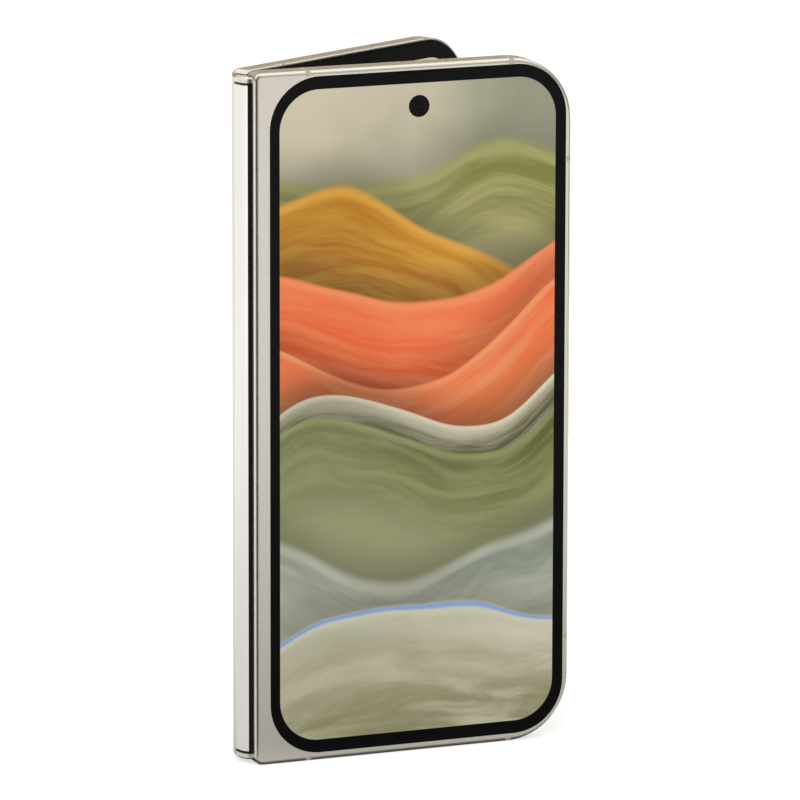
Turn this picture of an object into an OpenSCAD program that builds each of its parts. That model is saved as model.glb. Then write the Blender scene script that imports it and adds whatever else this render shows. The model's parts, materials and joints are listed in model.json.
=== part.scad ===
// Book-style foldable smartphone, in millimetres.
// Row frame: origin at the centre of the front half's bottom edge face, +X away from the hinge,
// -Y out of the cover display, +Z up.
// Most parts are drawn in the closed frame: x runs from the hinge lip, y from the fold plane
// (the front half is at negative y), z up from the bottom edge. The rear half is the mirror image.

/* [Halves] */
// Width of each half, from its hinge lip to its far edge
half_w = 75; // [73:0.5:78]
// Height of the phone
half_h = 155; // [150:0.2:162]
// Thickness of each half
half_t = 5.1; // [5:0.05:5.4]
// Gap between the two inner faces when closed
fold_gap = 0.3; // [0.2:0.05:0.4]
// Radius of the corners far from the hinge
corner_r = 14.4; // [10:0.2:16]
// Radius of the corners at the hinge
hinge_corner_r = 1.8; // [1.7:0.1:2.5]
// Rounding of the edge round the cover display
edge_r = 0.85; // [0.6:0.05:1]
// Rounding of the edge round the back
back_edge_r = 1.6; // [1:0.1:1.7]
// Chamfer of the inner face's edge
inner_chamfer = 0.2; // [0.1:0.05:0.3]
// Thickness of the frame's end walls beside the hinge
end_wall = 0.9; // [0.7:0.05:1]
// Wall between the inner bay and the outside
bay_wall = 2.2; // [2:0.05:2.4]
// Clearance round the parts in the bays
part_gap = 0.2; // [0.1:0.05:0.3]

/* [Pose] */
// Opening angle between the halves as stored
open_angle = 27.7; // [10:0.1:60]

/* [Hinge] */
// Distance from the fold plane to each pivot axis
pivot_y = 0.65; // [0.6:0.01:0.7]
// Gap between the two hinge lips when fully open
lip_gap = 0.2; // [0.16:0.02:0.3]
// Radius of the hinge cover about each pivot axis
spine_r = 2.65; // [2.5:0.05:2.7]
// Wall of the hinge cover
cover_wall = 0.4; // [0.3:0.05:0.45]
// How far the polished cover turns round each pivot axis, in degrees
cover_arc = 46; // [30:1:70]
// Step from the polished cover down to the dark seals beside it
seal_step = 0.12; // [0.05:0.01:0.2]
// Clearance between the turning hinge and the halves
sweep_gap = 0.2; // [0.15:0.01:0.3]
// Height of the hinge's end caps
cap_h = 1.55; // [1.4:0.05:1.7]
// Gap between neighbouring pieces of the hinge along its length
stack_gap = 0.15; // [0.1:0.01:0.2]
// Thickness of each gear arm
arm_t = 0.5; // [0.4:0.05:0.55]
// Radius of the pivot pins
pin_r = 0.2; // [0.16:0.01:0.21]
// Running clearance of pins and shafts, on the radius
run_gap = 0.03; // [0.02:0.005:0.04]
// Teeth of each idler gear
idler_teeth = 10;
// Teeth that a whole sector gear would have
sector_teeth = 12;

/* [Cover display] */
// Thickness of the cover glass
glass_t = 0.55; // [0.4:0.05:0.6]
// Margin from the hinge lip to the glass
glass_hinge_margin = 3.55; // [3.2:0.05:5]
// Margin from the far edge to the glass
glass_far_margin = 1.4; // [1.2:0.05:2.5]
// Margin from the bottom edge to the glass
glass_bottom_margin = 1.8; // [1.2:0.05:2.5]
// Margin from the top edge to the glass
glass_top_margin = 1.35; // [1.2:0.05:2.5]
// Corner radius of the glass
glass_corner_r = 11.7; // [8:0.1:12.5]
// Margin from the back's edges to the back panel
back_margin = 2.1; // [1.8:0.05:2.5]
// Length of the earpiece slot
slot_len = 12; // [10:0.5:14]
// Height of the earpiece slot
slot_h = 0.45; // [0.3:0.05:0.55]
// Gap round each inset panel
seat_gap = 0.06; // [0.03:0.01:0.1]
// Thickness of the cover display panel
panel_t = 0.75; // [0.6:0.05:0.8]
// Border between the glass edge and the display panel
panel_inset = 0.7; // [0.5:0.1:1.2]
// Distance from the top edge to the selfie camera
selfie_drop = 9.3; // [8:0.1:12]
// Radius of the selfie camera barrel
selfie_r = 1.75; // [1.4:0.05:2]

/* [Inner display] */
// Thickness of the folding display
flex_t = 0.35; // [0.3:0.01:0.4]
// Depth of the folding display below the bezel's face
flex_drop = 0.1; // [0.05:0.01:0.12]
// Margin from the top, bottom and far edges to the folding display
flex_margin = 4.1; // [4.08:0.01:5]
// Length from the hinge lip over which the display is free to bend
fold_span = 5.4; // [5:0.1:6]
// Thickness of the steel plate under the display
plate_t = 0.2; // [0.15:0.01:0.25]
// Corner radius of the folding display
flex_corner_r = 9; // [6:0.5:10]
// Radius of the inner selfie camera barrel
inner_selfie_r = 1.6; // [1.3:0.05:1.8]

/* [Camera island] */
// Width of the raised camera island
island_w = 54; // [48:0.5:58]
// Height of the island
island_h = 35; // [32:0.5:40]
// How far the island stands proud of the back
island_rise = 2.4; // [1.8:0.1:3]
// Distance from the top edge to the island
island_top = 7.5; // [6:0.5:10]
// Distance from the far edge to the island
island_side = 7.5; // [6:0.5:9]
// Corner radius of the island
island_r = 12; // [8:0.5:14]
// Length of each lens window
window_w = 37; // [34:0.5:40]
// Height of each lens window
window_h = 12.6; // [11.5:0.1:13.5]
// Radius of the large lenses
lens_r = 4.6; // [4:0.1:5]

/* [Controls] */
// Length of the power button
power_len = 14; // [10:0.5:16]
// Height of the power button's centre
power_z = 107.3; // [102:0.1:112]
// Length of the volume rocker
volume_len = 24; // [20:0.5:26]
// Height of the volume rocker's centre
volume_z = 79.4; // [75:0.1:84]
// Width of the buttons across the edge
button_w = 2.1; // [1.6:0.1:2.4]
// How far the buttons stand proud
button_rise = 0.45; // [0.3:0.05:0.6]
// Travel of the power button
button_travel = 0.25; // [0.15:0.05:0.3]
// Gap round a button
button_gap = 0.1; // [0.06:0.01:0.15]

/* [Ports] */
// Width of the charging socket's shell
usb_w = 8.94; // [8.6:0.02:9.2]
// Height of the charging socket's shell
usb_h = 3.2; // [3:0.02:3.26]
// Depth of the charging socket
usb_depth = 7.2; // [6:0.1:8]
// Length of the card tray's head
tray_len = 15; // [14:0.5:17]
// Height of the card tray's head
tray_h = 1.9; // [1.6:0.1:2.1]
// Depth of the card tray
tray_depth = 21; // [18:0.5:23]

/* [Charging] */
// Radius of the wireless charging coil
coil_r = 22; // [18:0.5:24]

/* [Hidden] */
$fn = 48;

// Placing
turn = open_angle / 2;
pivot_x = pivot_y - lip_gap / 2;
face_y = fold_gap / 2;
outer_y = face_y + half_t;
sweep_r = spine_r + sweep_gap;
cavity_x = pivot_x + sweep_r;
open_plane_x = pivot_x + pivot_y - face_y;

// Layers, as depths below the inner face
flex_d = flex_drop + flex_t;
plate_d = flex_d + 0.05;
bay_d = plate_d + plate_t;
glass_d = half_t - glass_t;
panel_d = glass_d - panel_t;
web_t = 0.4;
bay_floor_d = panel_d - web_t;

// Hinge stations along z, from one end
cap_z = end_wall + stack_gap;
cover_z = cap_z + cap_h + stack_gap;
arm_z = [cover_z + 0.05, cover_z + 0.15 + arm_t];
gear_zone = arm_z[1] + arm_t + 0.05;
cover_top_x = 0.45;
cap_top_x = pivot_x + 0.25;
cap_bridge_y = pivot_y + 0.3;
tab_start = pivot_x + 0.6;
arm_high = 0.35;

// Gears: the idlers' pitch circles meet on the fold plane
gear_m = 2 * pivot_y / idler_teeth;
sector_pitch = gear_m * sector_teeth / 2;
idler_x = pivot_x - sector_pitch - pivot_y;
gear_addendum = 0.8 * gear_m;
gear_dedendum = 1.05 * gear_m;
gear_backlash = 0.02;
shaft_r = 0.25;
idler_ratio = sector_teeth / idler_teeth;

// The bay inside each half
bay_x0 = cavity_x + 2.4;
bay_z0 = bay_wall;
bay_z1 = half_h - bay_wall;

// Outline of the cover glass
glass_x0 = glass_hinge_margin;
glass_x1 = half_w - glass_far_margin;
glass_z0 = glass_bottom_margin;
glass_z1 = half_h - glass_top_margin;
glass_mid_x = (glass_x0 + glass_x1) / 2;

// Colours
porcelain = [0.87, 0.84, 0.79];
porcelain_dark = [0.8, 0.76, 0.7];
polished = [0.92, 0.91, 0.89];
steel = [0.6, 0.6, 0.62];
black = [0.03, 0.03, 0.035];
graphite = [0.18, 0.18, 0.2];
board_green = [0.08, 0.25, 0.16];
gold = [0.8, 0.65, 0.35];

// ---------------------------------------------------------------- shapes

// A 2D rounded rectangle made of a plus and four corner discs
module plain_round_rect(x0, z0, x1, z1, r) {
    translate([x0 + r, z0]) square([x1 - x0 - 2 * r, z1 - z0]);
    translate([x0, z0 + r]) square([x1 - x0, z1 - z0 - 2 * r]);
    for (x = [x0 + r, x1 - r], z = [z0 + r, z1 - r]) translate([x, z]) circle(r);
}

// The half's outline in x and z: small corners at the hinge, large ones far from it
module half_outline(inset = 0) {
    small = max(hinge_corner_r - inset, 0.2);
    large = corner_r - inset;
    x1 = half_w - inset;
    z1 = half_h - inset;
    translate([inset + small, inset]) square([x1 - large - inset - small, z1 - inset]);
    translate([inset, inset + small]) square([2 * small, z1 - inset - 2 * small]);
    translate([x1 - large - small, inset + large]) square([large + small, z1 - inset - 2 * large]);
    for (z = [inset + small, z1 - small]) translate([inset + small, z]) circle(small);
    for (z = [inset + large, z1 - large]) translate([x1 - large, z]) circle(large);
}

// Extrudes a 2D shape in x and z between two depths below the front half's inner face
module layer(d0, d1) {
    translate([0, -face_y - d0, 0]) rotate([90, 0, 0]) linear_extrude(d1 - d0) children();
}

// A block given by its x range, its depths below the inner face and its z range
module bay(x0, x1, d0, d1, z0, z1) {
    translate([x0, -face_y - d1, z0]) cube([x1 - x0, d1 - d0, z1 - z0]);
}

// A block with rounded corners in x and z
module round_bay(x0, x1, d0, d1, z0, z1, r) {
    layer(d0, d1) plain_round_rect(x0, z0, x1, z1, r);
}

// A vertical cylinder in the closed frame
module post(x, y, r, z0, z1) {
    translate([x, y, z0]) cylinder(r = r, h = z1 - z0);
}

// A cylinder across the thickness, between two depths
module peg(x, z, r, d0, d1) {
    layer(d0, d1) translate([x, z]) circle(r);
}

// Repeats the children at the bottom end and mirrored at the top end
module both_ends() {
    children();
    translate([0, 0, half_h]) mirror([0, 0, 1]) children();
}

// Local frame of a half: x as before, y is the height, z is the depth below the inner face
module local() {
    translate([0, -face_y, 0]) rotate([90, 0, 0]) children();
}

// Sweeps a cutter profile round the half's outline, in the local frame. The profile's first
// number is the distance in from the edge and its second is the depth.
module edge_sweep(profile) {
    small = hinge_corner_r;
    large = corner_r;
    module along(y0, y1) {
        translate([0, y1, 0]) rotate([90, 0, 0]) linear_extrude(y1 - y0) polygon(profile);
    }
    module around(r, x, y, a) {
        translate([x, y, 0]) rotate([0, 0, a]) rotate_extrude(angle = 90)
            mirror([1, 0]) translate([-r, 0]) polygon(profile);
    }
    along(small, half_h - small);
    translate([half_w, 0, 0]) mirror([1, 0, 0]) along(large, half_h - large);
    mirror([1, 0, 0]) rotate([0, 0, 90]) along(small, half_w - large);
    translate([0, half_h, 0]) mirror([0, 1, 0]) mirror([1, 0, 0]) rotate([0, 0, 90])
        along(small, half_w - large);
    around(small, small, small, 180);
    around(small, small, half_h - small, 90);
    around(large, half_w - large, large, 270);
    around(large, half_w - large, half_h - large, 0);
}

// Sweeps a profile round the hinge's outer surface, over the given angles from its flat middle.
// The profile's first number is the distance from the pivot axes and its second is the height.
module spine_arc(profile, from, to) {
    for (s = [0, 1]) mirror([0, s, 0]) translate([pivot_x, -pivot_y, 0]) rotate([0, 0, 180 + from])
        rotate_extrude(angle = to - from) polygon(profile);
}

module spine_middle(profile) {
    translate([pivot_x, pivot_y, 0]) rotate([90, 0, 0]) linear_extrude(2 * pivot_y)
        mirror([1, 0]) polygon(profile);
}

// Places a part drawn in the closed frame: the front half stays square to the row frame
module on_front() {
    translate([-half_w / 2, face_y + half_t / 2, 0]) children();
}

module on_spine() {
    on_front() translate([pivot_x, -pivot_y, 0]) rotate([0, 0, turn])
        translate([-pivot_x, pivot_y, 0]) children();
}

module on_rear() {
    on_spine() translate([pivot_x, pivot_y, 0]) rotate([0, 0, turn])
        translate([-pivot_x, -pivot_y, 0]) mirror([0, 1, 0]) children();
}

// The outline of a gear, with its first tooth centred at the given angle
module gear_outline(teeth, first, span) {
    pitch = gear_m * teeth / 2;
    tip = pitch + gear_addendum;
    root = pitch - gear_dedendum;
    step = 360 / teeth;
    // half angles of the tooth at its root, pitch circle and tip
    at_pitch = step / 4 - gear_backlash / pitch * 28.65;
    at_root = at_pitch + 5.5;
    at_tip = at_pitch * 0.45;
    circle(root);
    for (k = [0 : span - 1]) rotate([0, 0, first + k * step]) polygon([
        [0, 0],
        [root * cos(at_root), -root * sin(at_root)],
        [pitch * cos(at_pitch), -pitch * sin(at_pitch)],
        [tip * cos(at_tip), -tip * sin(at_tip)],
        [tip * cos(at_tip), tip * sin(at_tip)],
        [pitch * cos(at_pitch), pitch * sin(at_pitch)],
        [root * cos(at_root), root * sin(at_root)]
    ]);
}

// ---------------------------------------------------------------- halves

// Outer edge profile: the rounding and, on the inner face, a small chamfer
function round_profile(r) = concat(
    [[-0.6, half_t + 0.6], [-0.6, half_t - r]],
    [for (a = [0 : 15 : 90]) [r * (1 - cos(a)), half_t - r * (1 - sin(a))]],
    [[r, half_t + 0.6]]
);
chamfer_profile = [
    [-0.6, -0.6], [inner_chamfer, -0.6], [inner_chamfer, 0], [0, inner_chamfer], [-0.6, inner_chamfer]
];

// The solid half before anything is cut into it, with its outer edge rounded by r
module blank(r) {
    difference() {
        layer(0, half_t) half_outline();
        local() edge_sweep(round_profile(r));
        local() edge_sweep(chamfer_profile);
        // the inner edge at the hinge turns about the pivot
        difference() {
            translate([-1, -pivot_y, -1]) cube([1 + pivot_x, 1.2, half_h + 2]);
            post(pivot_x, -pivot_y, pivot_x - 0.01, -2, half_h + 2);
        }
    }
}

// The room that the turning hinge and the folding display take from a half
module hinge_room() {
    post(pivot_x, -pivot_y, sweep_r, end_wall, half_h - end_wall);
    translate([-1, -pivot_y - 0.9, end_wall])
        cube([1 + tab_start, pivot_y + 2, half_h - 2 * end_wall]);
    bay(-1, cavity_x - 0.15, -1, 1.2, flex_margin - 0.15, half_h - flex_margin + 0.15);
    translate([0, 0, flex_margin - 0.15]) linear_extrude(half_h - 2 * flex_margin + 0.3) polygon([
        [cavity_x - 0.6, -face_y + 1], [fold_span + 0.2, -face_y + 1],
        [fold_span + 0.2, -face_y - plate_d - plate_t], [cavity_x - 0.6, -face_y - 2.2]
    ]);
}

// Recess for the bezel, the folding display and the support plate
module inner_recess() {
    intersection() {
        layer(-1, bay_d) half_outline(1.2);
        translate([tab_start, -9, 0]) cube([half_w, 12, half_h]);
    }
}

// The open bay that holds the battery and the boards
module bay_room() {
    intersection() {
        layer(bay_d - 0.1, bay_floor_d) half_outline(bay_wall);
        translate([bay_x0, -9, 0]) cube([half_w, 12, half_h]);
    }
}

// Stations of the screws: [x, z]
foot_screws = [for (z = [5.6, half_h - 5.6]) [bay_x0 + 2.6, z]];
front_bay_screws = [for (z = [11, 37]) [half_w - 13, z]];
board_z = half_h - 69;
rear_bay_screws = [[half_w - 9, 14], [half_w - 31, board_z - 1.2]];

module boss(p) {
    peg(p[0], p[1], 1.15, 2.45, bay_floor_d + 0.1);
}

module boss_hole(p) {
    peg(p[0], p[1], 0.52, 2, bay_floor_d + 0.2);
}

// Where the antenna bands cross the frame, as boxes in the closed frame
module band_slots() {
    for (x = [12.5, half_w - 14.4]) both_ends() translate([x - 0.6, -outer_y - 1, -1])
        cube([1.2, half_t + 2, 2.2]);
    for (z = [23.2, half_h - 23.2]) translate([half_w - 1.2, -outer_y - 1, z - 0.6])
        cube([3, half_t + 2, 1.2]);
}

module band_blank(r) {
    difference() {
        intersection() {
            blank(r);
            band_slots();
        }
        inner_recess();
    }
}

// Slot for a gear arm where it passes through the hinge side wall
module arm_slots() {
    both_ends() bay(cavity_x - 1, bay_x0 + 0.2, 0.09, 1.45, cover_z - 0.1, gear_zone + 0.15);
}

// ---------------------------------------------------------------- front half

button_z = [[power_z - power_len / 2, power_z + power_len / 2],
            [volume_z - volume_len / 2, volume_z + volume_len / 2]];
button_d = half_t / 2 - 0.1;
tray_x = bay_x0 + 21.2;
tray_d = 2.2;
speaker_x = half_w - 22;
speaker_z1 = 21;
sub_board_z = [26, 42];

module front_frame() {
    color(porcelain) on_front() difference() {
        union() {
            difference() {
                blank(edge_r);
                hinge_room();
                inner_recess();
                bay_room();
                // seats of the glass and of the cover display
                layer(glass_d, half_t + 1)
                    plain_round_rect(glass_x0 - seat_gap, glass_z0 - seat_gap,
                        glass_x1 + seat_gap, glass_z1 + seat_gap, glass_corner_r + seat_gap);
                layer(panel_d, glass_d + 0.1)
                    plain_round_rect(glass_x0 + panel_inset - seat_gap, glass_z0 + panel_inset - seat_gap,
                        glass_x1 - panel_inset + seat_gap, glass_z1 - panel_inset + seat_gap,
                        glass_corner_r - panel_inset + seat_gap);
            }
            for (p = concat(foot_screws, front_bay_screws)) boss(p);
        }
        for (p = concat(foot_screws, front_bay_screws)) boss_hole(p);
        band_slots();
        arm_slots();
        // buttons: wide slot, and a narrow one for each button's foot
        for (b = button_z) {
            bay(half_w - 1.1, half_w + 1, button_d - button_w / 2 - button_gap,
                button_d + button_w / 2 + button_gap, b[0] - button_gap, b[1] + button_gap);
            bay(half_w - 3, half_w, button_d - 0.5 - button_gap, button_d + 0.5 + button_gap,
                b[0] + 1.5 - button_gap, b[1] - 1.5 + button_gap);
        }
        // card tray slot
        bay(tray_x - tray_len / 2 - 0.08, tray_x + tray_len / 2 + 0.08,
            tray_d - tray_h / 2 - 0.08, tray_d + tray_h / 2 + 0.08, -1, 1.05);
        bay(tray_x - tray_len / 2 + 0.6, tray_x + tray_len / 2 - 0.6,
            tray_d - 0.6, tray_d + 0.6, 0, 3);
        // tray release hole, bottom speaker and microphone holes
        translate([tray_x + tray_len / 2 + 1.6, -face_y - tray_d, -1]) cylinder(r = 0.45, h = 5);
        for (k = [-2.5 : 2.5]) translate([speaker_x + 2 * k, -face_y - tray_d, -1])
            cylinder(r = 0.6, h = 5);
        translate([speaker_x - 9.5, -face_y - tray_d, -1]) cylinder(r = 0.4, h = 5);
        translate([half_w - 29, -face_y - tray_d, half_h - 4]) cylinder(r = 0.4, h = 5);
        // earpiece slot behind the top edge of the glass
        bay(glass_mid_x - slot_len / 2, glass_mid_x + slot_len / 2, bay_floor_d - 0.5, half_t + 1,
            glass_z1 - slot_h, glass_z1);
        bay(glass_mid_x - slot_len / 2, glass_mid_x - 3.6, bay_floor_d - 0.5, bay_floor_d - 0.1,
            bay_z1 - 0.1, glass_z1);
        // selfie camera
        peg(glass_mid_x, half_h - selfie_drop, selfie_r + 0.45, 2, panel_d + 0.1);
    }
}

module cover_glass() {
    color([0.05, 0.05, 0.06, 0.35]) on_front() difference() {
        layer(glass_d, half_t - 0.03)
            plain_round_rect(glass_x0, glass_z0, glass_x1, glass_z1, glass_corner_r);
        bay(glass_mid_x - slot_len / 2, glass_mid_x + slot_len / 2, 0, half_t + 1,
            glass_z1 - slot_h, glass_z1 + 1);
    }
}

module cover_display() {
    color(black) on_front() difference() {
        layer(panel_d + 0.02, glass_d - 0.02)
            plain_round_rect(glass_x0 + panel_inset, glass_z0 + panel_inset,
                glass_x1 - panel_inset, glass_z1 - panel_inset, glass_corner_r - panel_inset);
        peg(glass_mid_x, half_h - selfie_drop, selfie_r + 0.1, panel_d - 1, half_t);
    }
}

module selfie_camera() {
    color(graphite) on_front() {
        peg(glass_mid_x, half_h - selfie_drop, selfie_r, 2.2, glass_d - 0.04);
        round_bay(glass_mid_x - 2.6, glass_mid_x + 2.6, 0.95, 2.2,
            half_h - selfie_drop - 2.6, half_h - selfie_drop + 2.6, 0.5);
    }
}

module earpiece_slot() {
    color(black) on_front() bay(glass_mid_x - slot_len / 2 + 0.04, glass_mid_x + slot_len / 2 - 0.04,
        bay_floor_d + 0.1, half_t - 0.2, glass_z1 - slot_h + 0.04, glass_z1 - 0.04);
}

module front_battery() {
    color(graphite) on_front() {
        round_bay(bay_x0 + 3.2, half_w - 6, 0.85, 3.25, sub_board_z[1] + 2, half_h - 27, 1.5);
        round_bay(bay_x0 + 24, bay_x0 + 42, 1.1, 2.4, half_h - 27, half_h - 24.5, 0.5);
    }
}

module sub_board() {
    color(board_green) on_front() difference() {
        union() {
            round_bay(bay_x0 + 4, half_w - 4, 3.15, 3.35, sub_board_z[0], sub_board_z[1], 1);
            round_bay(half_w - 29, half_w - 15, 2.0, 3.15, sub_board_z[0] + 2,
                sub_board_z[0] + 8, 0.4);
            round_bay(bay_x0 + 8.2, bay_x0 + 18.2, 2.2, 3.15, sub_board_z[0] + 5,
                sub_board_z[0] + 12, 0.4);
        }
        for (p = front_bay_screws) peg(p[0], p[1], 1.15 + part_gap, 0, 4);
    }
}

module vibration_motor() {
    color(steel) on_front() round_bay(half_w - 13, half_w - 4.6, 0.9, 3.2,
        sub_board_z[0] - 9, sub_board_z[0] - 1, 0.8);
}

module bottom_speaker() {
    color(graphite) on_front() difference() {
        union() {
            round_bay(speaker_x - 7, speaker_x + 7, 0.9, 3.2, bay_z0 + 1.4, speaker_z1, 1);
            bay(speaker_x - 6.2, speaker_x + 6.2, 1.2, 3.0, bay_z0 + 0.4, bay_z0 + 2.4);
        }
        bay(speaker_x - 5.8, speaker_x + 5.8, 1.6, 2.8, bay_z0 - 0.2, bay_z0 + 3);
    }
}

module earpiece_speaker() {
    color(graphite) on_front() difference() {
        round_bay(glass_mid_x - 13, glass_mid_x - 3.4, 0.9, 3.2, bay_z1 - 13.8, bay_z1 - 2.3, 0.8);
        round_bay(glass_mid_x - 11.6, glass_mid_x - 4.8, 2.9, 3.4, bay_z1 - 11.8, bay_z1 - 4.2, 0.8);
    }
}

module card_reader() {
    color(steel) on_front() difference() {
        bay(tray_x - 8.2, tray_x + 8.2, tray_d - 0.95, tray_d + 0.95, bay_z0 + 1, tray_depth + 3.4);
        bay(tray_x - 7.0, tray_x + 7.0, tray_d - 0.65, tray_d + 0.65, 0, tray_depth + 2.6);
    }
}

module card_tray() {
    color(porcelain) on_front() {
        difference() {
            union() {
                bay(tray_x - tray_len / 2, tray_x + tray_len / 2, tray_d - tray_h / 2,
                    tray_d + tray_h / 2, 0, 0.95);
                bay(tray_x - 6.7, tray_x + 6.7, tray_d - 0.45, tray_d + 0.45, 0.95, tray_depth + 1);
            }
            bay(tray_x - 4.5, tray_x + 4.5, tray_d - 2, tray_d + 0.1, 4.5, 17.2);
        }
    }
}

module front_support_plate() {
    color(steel) on_front() difference() {
        intersection() {
            layer(plate_d, bay_d - 0.02) half_outline(1.35);
            translate([fold_span + 0.25, -9, 0]) cube([half_w, 12, half_h]);
        }
        // cleared beside the gear arms
        both_ends() bay(0, bay_x0 + 1.6, 0, 2, 0, gear_zone + 0.15);
    }
}

// The flat part of the folding display on one half
module flat_display() {
    difference() {
        translate([fold_span, -face_y - flex_d, flex_margin])
            cube([half_w - flex_margin - fold_span, flex_t, half_h - 2 * flex_margin]);
        both_ends() difference() {
            bay(half_w - flex_margin - flex_corner_r, half_w, -1, 2, 0, flex_margin + flex_corner_r);
            peg(half_w - flex_margin - flex_corner_r, flex_margin + flex_corner_r, flex_corner_r, -2, 3);
        }
    }
}

module inner_display_front() {
    color(black) on_front() flat_display();
}

// The raised plastic frame round the folding display, on one half
module inner_bezel() {
    w0 = flex_margin + 0.5;
    module window(m, r) {
        z1 = half_h - m;
        square_x = half_w - m - r;
        translate([-1, m]) square([square_x + 1, z1 - m]);
        translate([square_x - 1, m + r]) square([r + 1, z1 - m - 2 * r]);
        for (z = [m + r, z1 - r]) translate([square_x, z]) circle(r);
    }
    intersection() {
        difference() {
            union() {
                layer(0.02, flex_drop - 0.02) difference() {
                    half_outline(1.25);
                    window(w0, flex_corner_r - 0.5);
                }
                layer(flex_drop - 0.02, plate_d - 0.02) difference() {
                    half_outline(1.25);
                    window(2.55, flex_corner_r + 1.55);
                }
            }
        }
        translate([tab_start + 0.05, -9, 0]) cube([half_w, 12, half_h]);
    }
}

module inner_bezel_front() {
    color(black) on_front() inner_bezel();
}

module front_antenna_bands() {
    color(porcelain_dark) on_front() band_blank(edge_r);
}

// A sector gear with its pin, arm and foot, at each end. The teeth start at the given angle and
// the arm runs at the given station.
module gear_arm(first, station) {
    z0 = arm_z[station];
    z1 = z0 + arm_t;
    both_ends() difference() {
        union() {
            // sector gear and arm
            translate([pivot_x, -pivot_y, z0]) linear_extrude(arm_t) intersection() {
                gear_outline(sector_teeth, first, 6);
                translate([-2, -2]) square([4, 2 + arm_high]);
            }
            bay(pivot_x, bay_x0 + 1.4, pivot_y - face_y - arm_high, pivot_y - face_y, z0, z1);
            bay(cavity_x + 0.1, bay_x0 + 1.4, pivot_y - face_y - arm_high, 1.3, z0, z1);
            // foot under the support plate
            bay(bay_x0 + 0.3, bay_x0 + 4.4, bay_d + 0.06, 2.4, z0, foot_screws[0][1] + 2);
            // pivot pin, from the end wall
            post(pivot_x, -pivot_y, pin_r, end_wall, z1);
        }
        peg(foot_screws[0][0], foot_screws[0][1], 0.55, 0, 4);
        peg(foot_screws[0][0], foot_screws[0][1], 0.95, 0, 1.15);
    }
}

module front_gear_arms() {
    color(steel) on_front() gear_arm(150, 0);
}

module screw(p, top) {
    peg(p[0], p[1], 0.5, top, bay_floor_d - 0.1);
    peg(p[0], p[1], 0.88, top, top + 0.3);
}

module front_screws() {
    color(steel) on_front() {
        for (p = foot_screws) screw(p, bay_d + 0.1);
        for (p = front_bay_screws) screw(p, 2.1);
    }
}

module magnets() {
    for (z = [34, 60, half_h - 21]) round_bay(half_w - 4.4, half_w - 2.6, 1, 3.1, z, z + 7, 0.4);
}

module front_magnets() {
    color(steel) on_front() magnets();
}

// A side button: its cap, and a flange and foot that reach the switch
module side_button(b, notch) {
    cap_r = button_w / 2;
    difference() {
        union() {
            translate([half_w - 0.6, -face_y - button_d, 0]) rotate([0, 90, 0])
                linear_extrude(0.6 + button_rise) mirror([1, 0]) {
                    translate([b[0] + cap_r, -cap_r]) square([b[1] - b[0] - 2 * cap_r, button_w]);
                    for (z = [b[0] + cap_r, b[1] - cap_r]) translate([z, 0]) circle(cap_r);
                }
            bay(half_w - 2.6, half_w - 0.6, button_d - 0.5, button_d + 0.5, b[0] + 1.5, b[1] - 1.5);
        }
        if (notch) bay(half_w - 3, half_w - 1.6, 0, 5, (b[0] + b[1]) / 2 - 3, (b[0] + b[1]) / 2 + 3);
    }
}

module power_button() {
    color(porcelain) on_front() side_button(button_z[0], false);
}

module volume_rocker() {
    color(porcelain) on_front() side_button(button_z[1], true);
}

module switch(z) {
    tip = half_w - 2.7 - button_travel;
    bay(tip - 1.45, tip - 0.45, button_d - 0.9, button_d + 0.9, z - 1.7, z + 1.7);
    translate([tip - 0.45, -face_y - button_d, z]) rotate([0, 90, 0]) cylinder(r = 0.6, h = 0.45);
}

module power_switch() {
    color(steel) on_front() switch(power_z);
}

module volume_switches() {
    color(steel) on_front() for (s = [-1, 1]) switch(volume_z + s * (volume_len / 2 - 4.5));
}

// ---------------------------------------------------------------- hinge

module hinge_cover() {
    inner = spine_r - cover_wall;
    profile = [[inner, cover_z], [spine_r - 0.15, cover_z], [spine_r, cover_z + 0.15],
        [spine_r, half_h - cover_z - 0.15], [spine_r - 0.15, half_h - cover_z],
        [inner, half_h - cover_z]];
    color(polished) on_spine() {
        spine_arc(profile, 0, cover_arc);
        spine_middle(profile);
    }
}

// Dark strips that close the hinge beside the polished cover
module hinge_seals() {
    inner = spine_r - cover_wall;
    outer = spine_r - seal_step;
    color(black) on_spine() difference() {
        spine_arc([[inner, cover_z], [outer, cover_z], [outer, half_h - cover_z],
            [inner, half_h - cover_z]], cover_arc, 90);
        translate([cover_top_x, -5, 0]) cube([5, 10, half_h]);
    }
}

module hinge_end_caps() {
    bevel = 0.35;
    profile = [[0, cap_z], [spine_r - bevel, cap_z], [spine_r, cap_z + bevel],
        [spine_r, cap_z + cap_h], [0, cap_z + cap_h]];
    color(porcelain) on_spine() both_ends() difference() {
        union() {
            difference() {
                union() {
                    spine_arc(profile, 0, 90);
                    spine_middle(profile);
                }
                translate([cover_top_x, -5, 0]) cube([5, 10, half_h]);
            }
            translate([-0.5, -cap_bridge_y, cap_z]) cube([0.5 + cap_top_x, 2 * cap_bridge_y, cap_h]);
        }
        for (s = [-1, 1]) {
            post(pivot_x, s * pivot_y, pin_r + run_gap, 0, 5);
            post(idler_x, s * pivot_y, shaft_r + run_gap, cap_z + 0.35, 5);
        }
    }
}

module hinge_support_plate() {
    color(steel) on_spine() translate([0.02, -1.15, flex_margin + 0.1])
        cube([0.2, 2.3, half_h - 2 * flex_margin - 0.2]);
}

bracket_z = [gear_zone + 0.1, gear_zone + 0.95];
bracket_y = 1.6;
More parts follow.
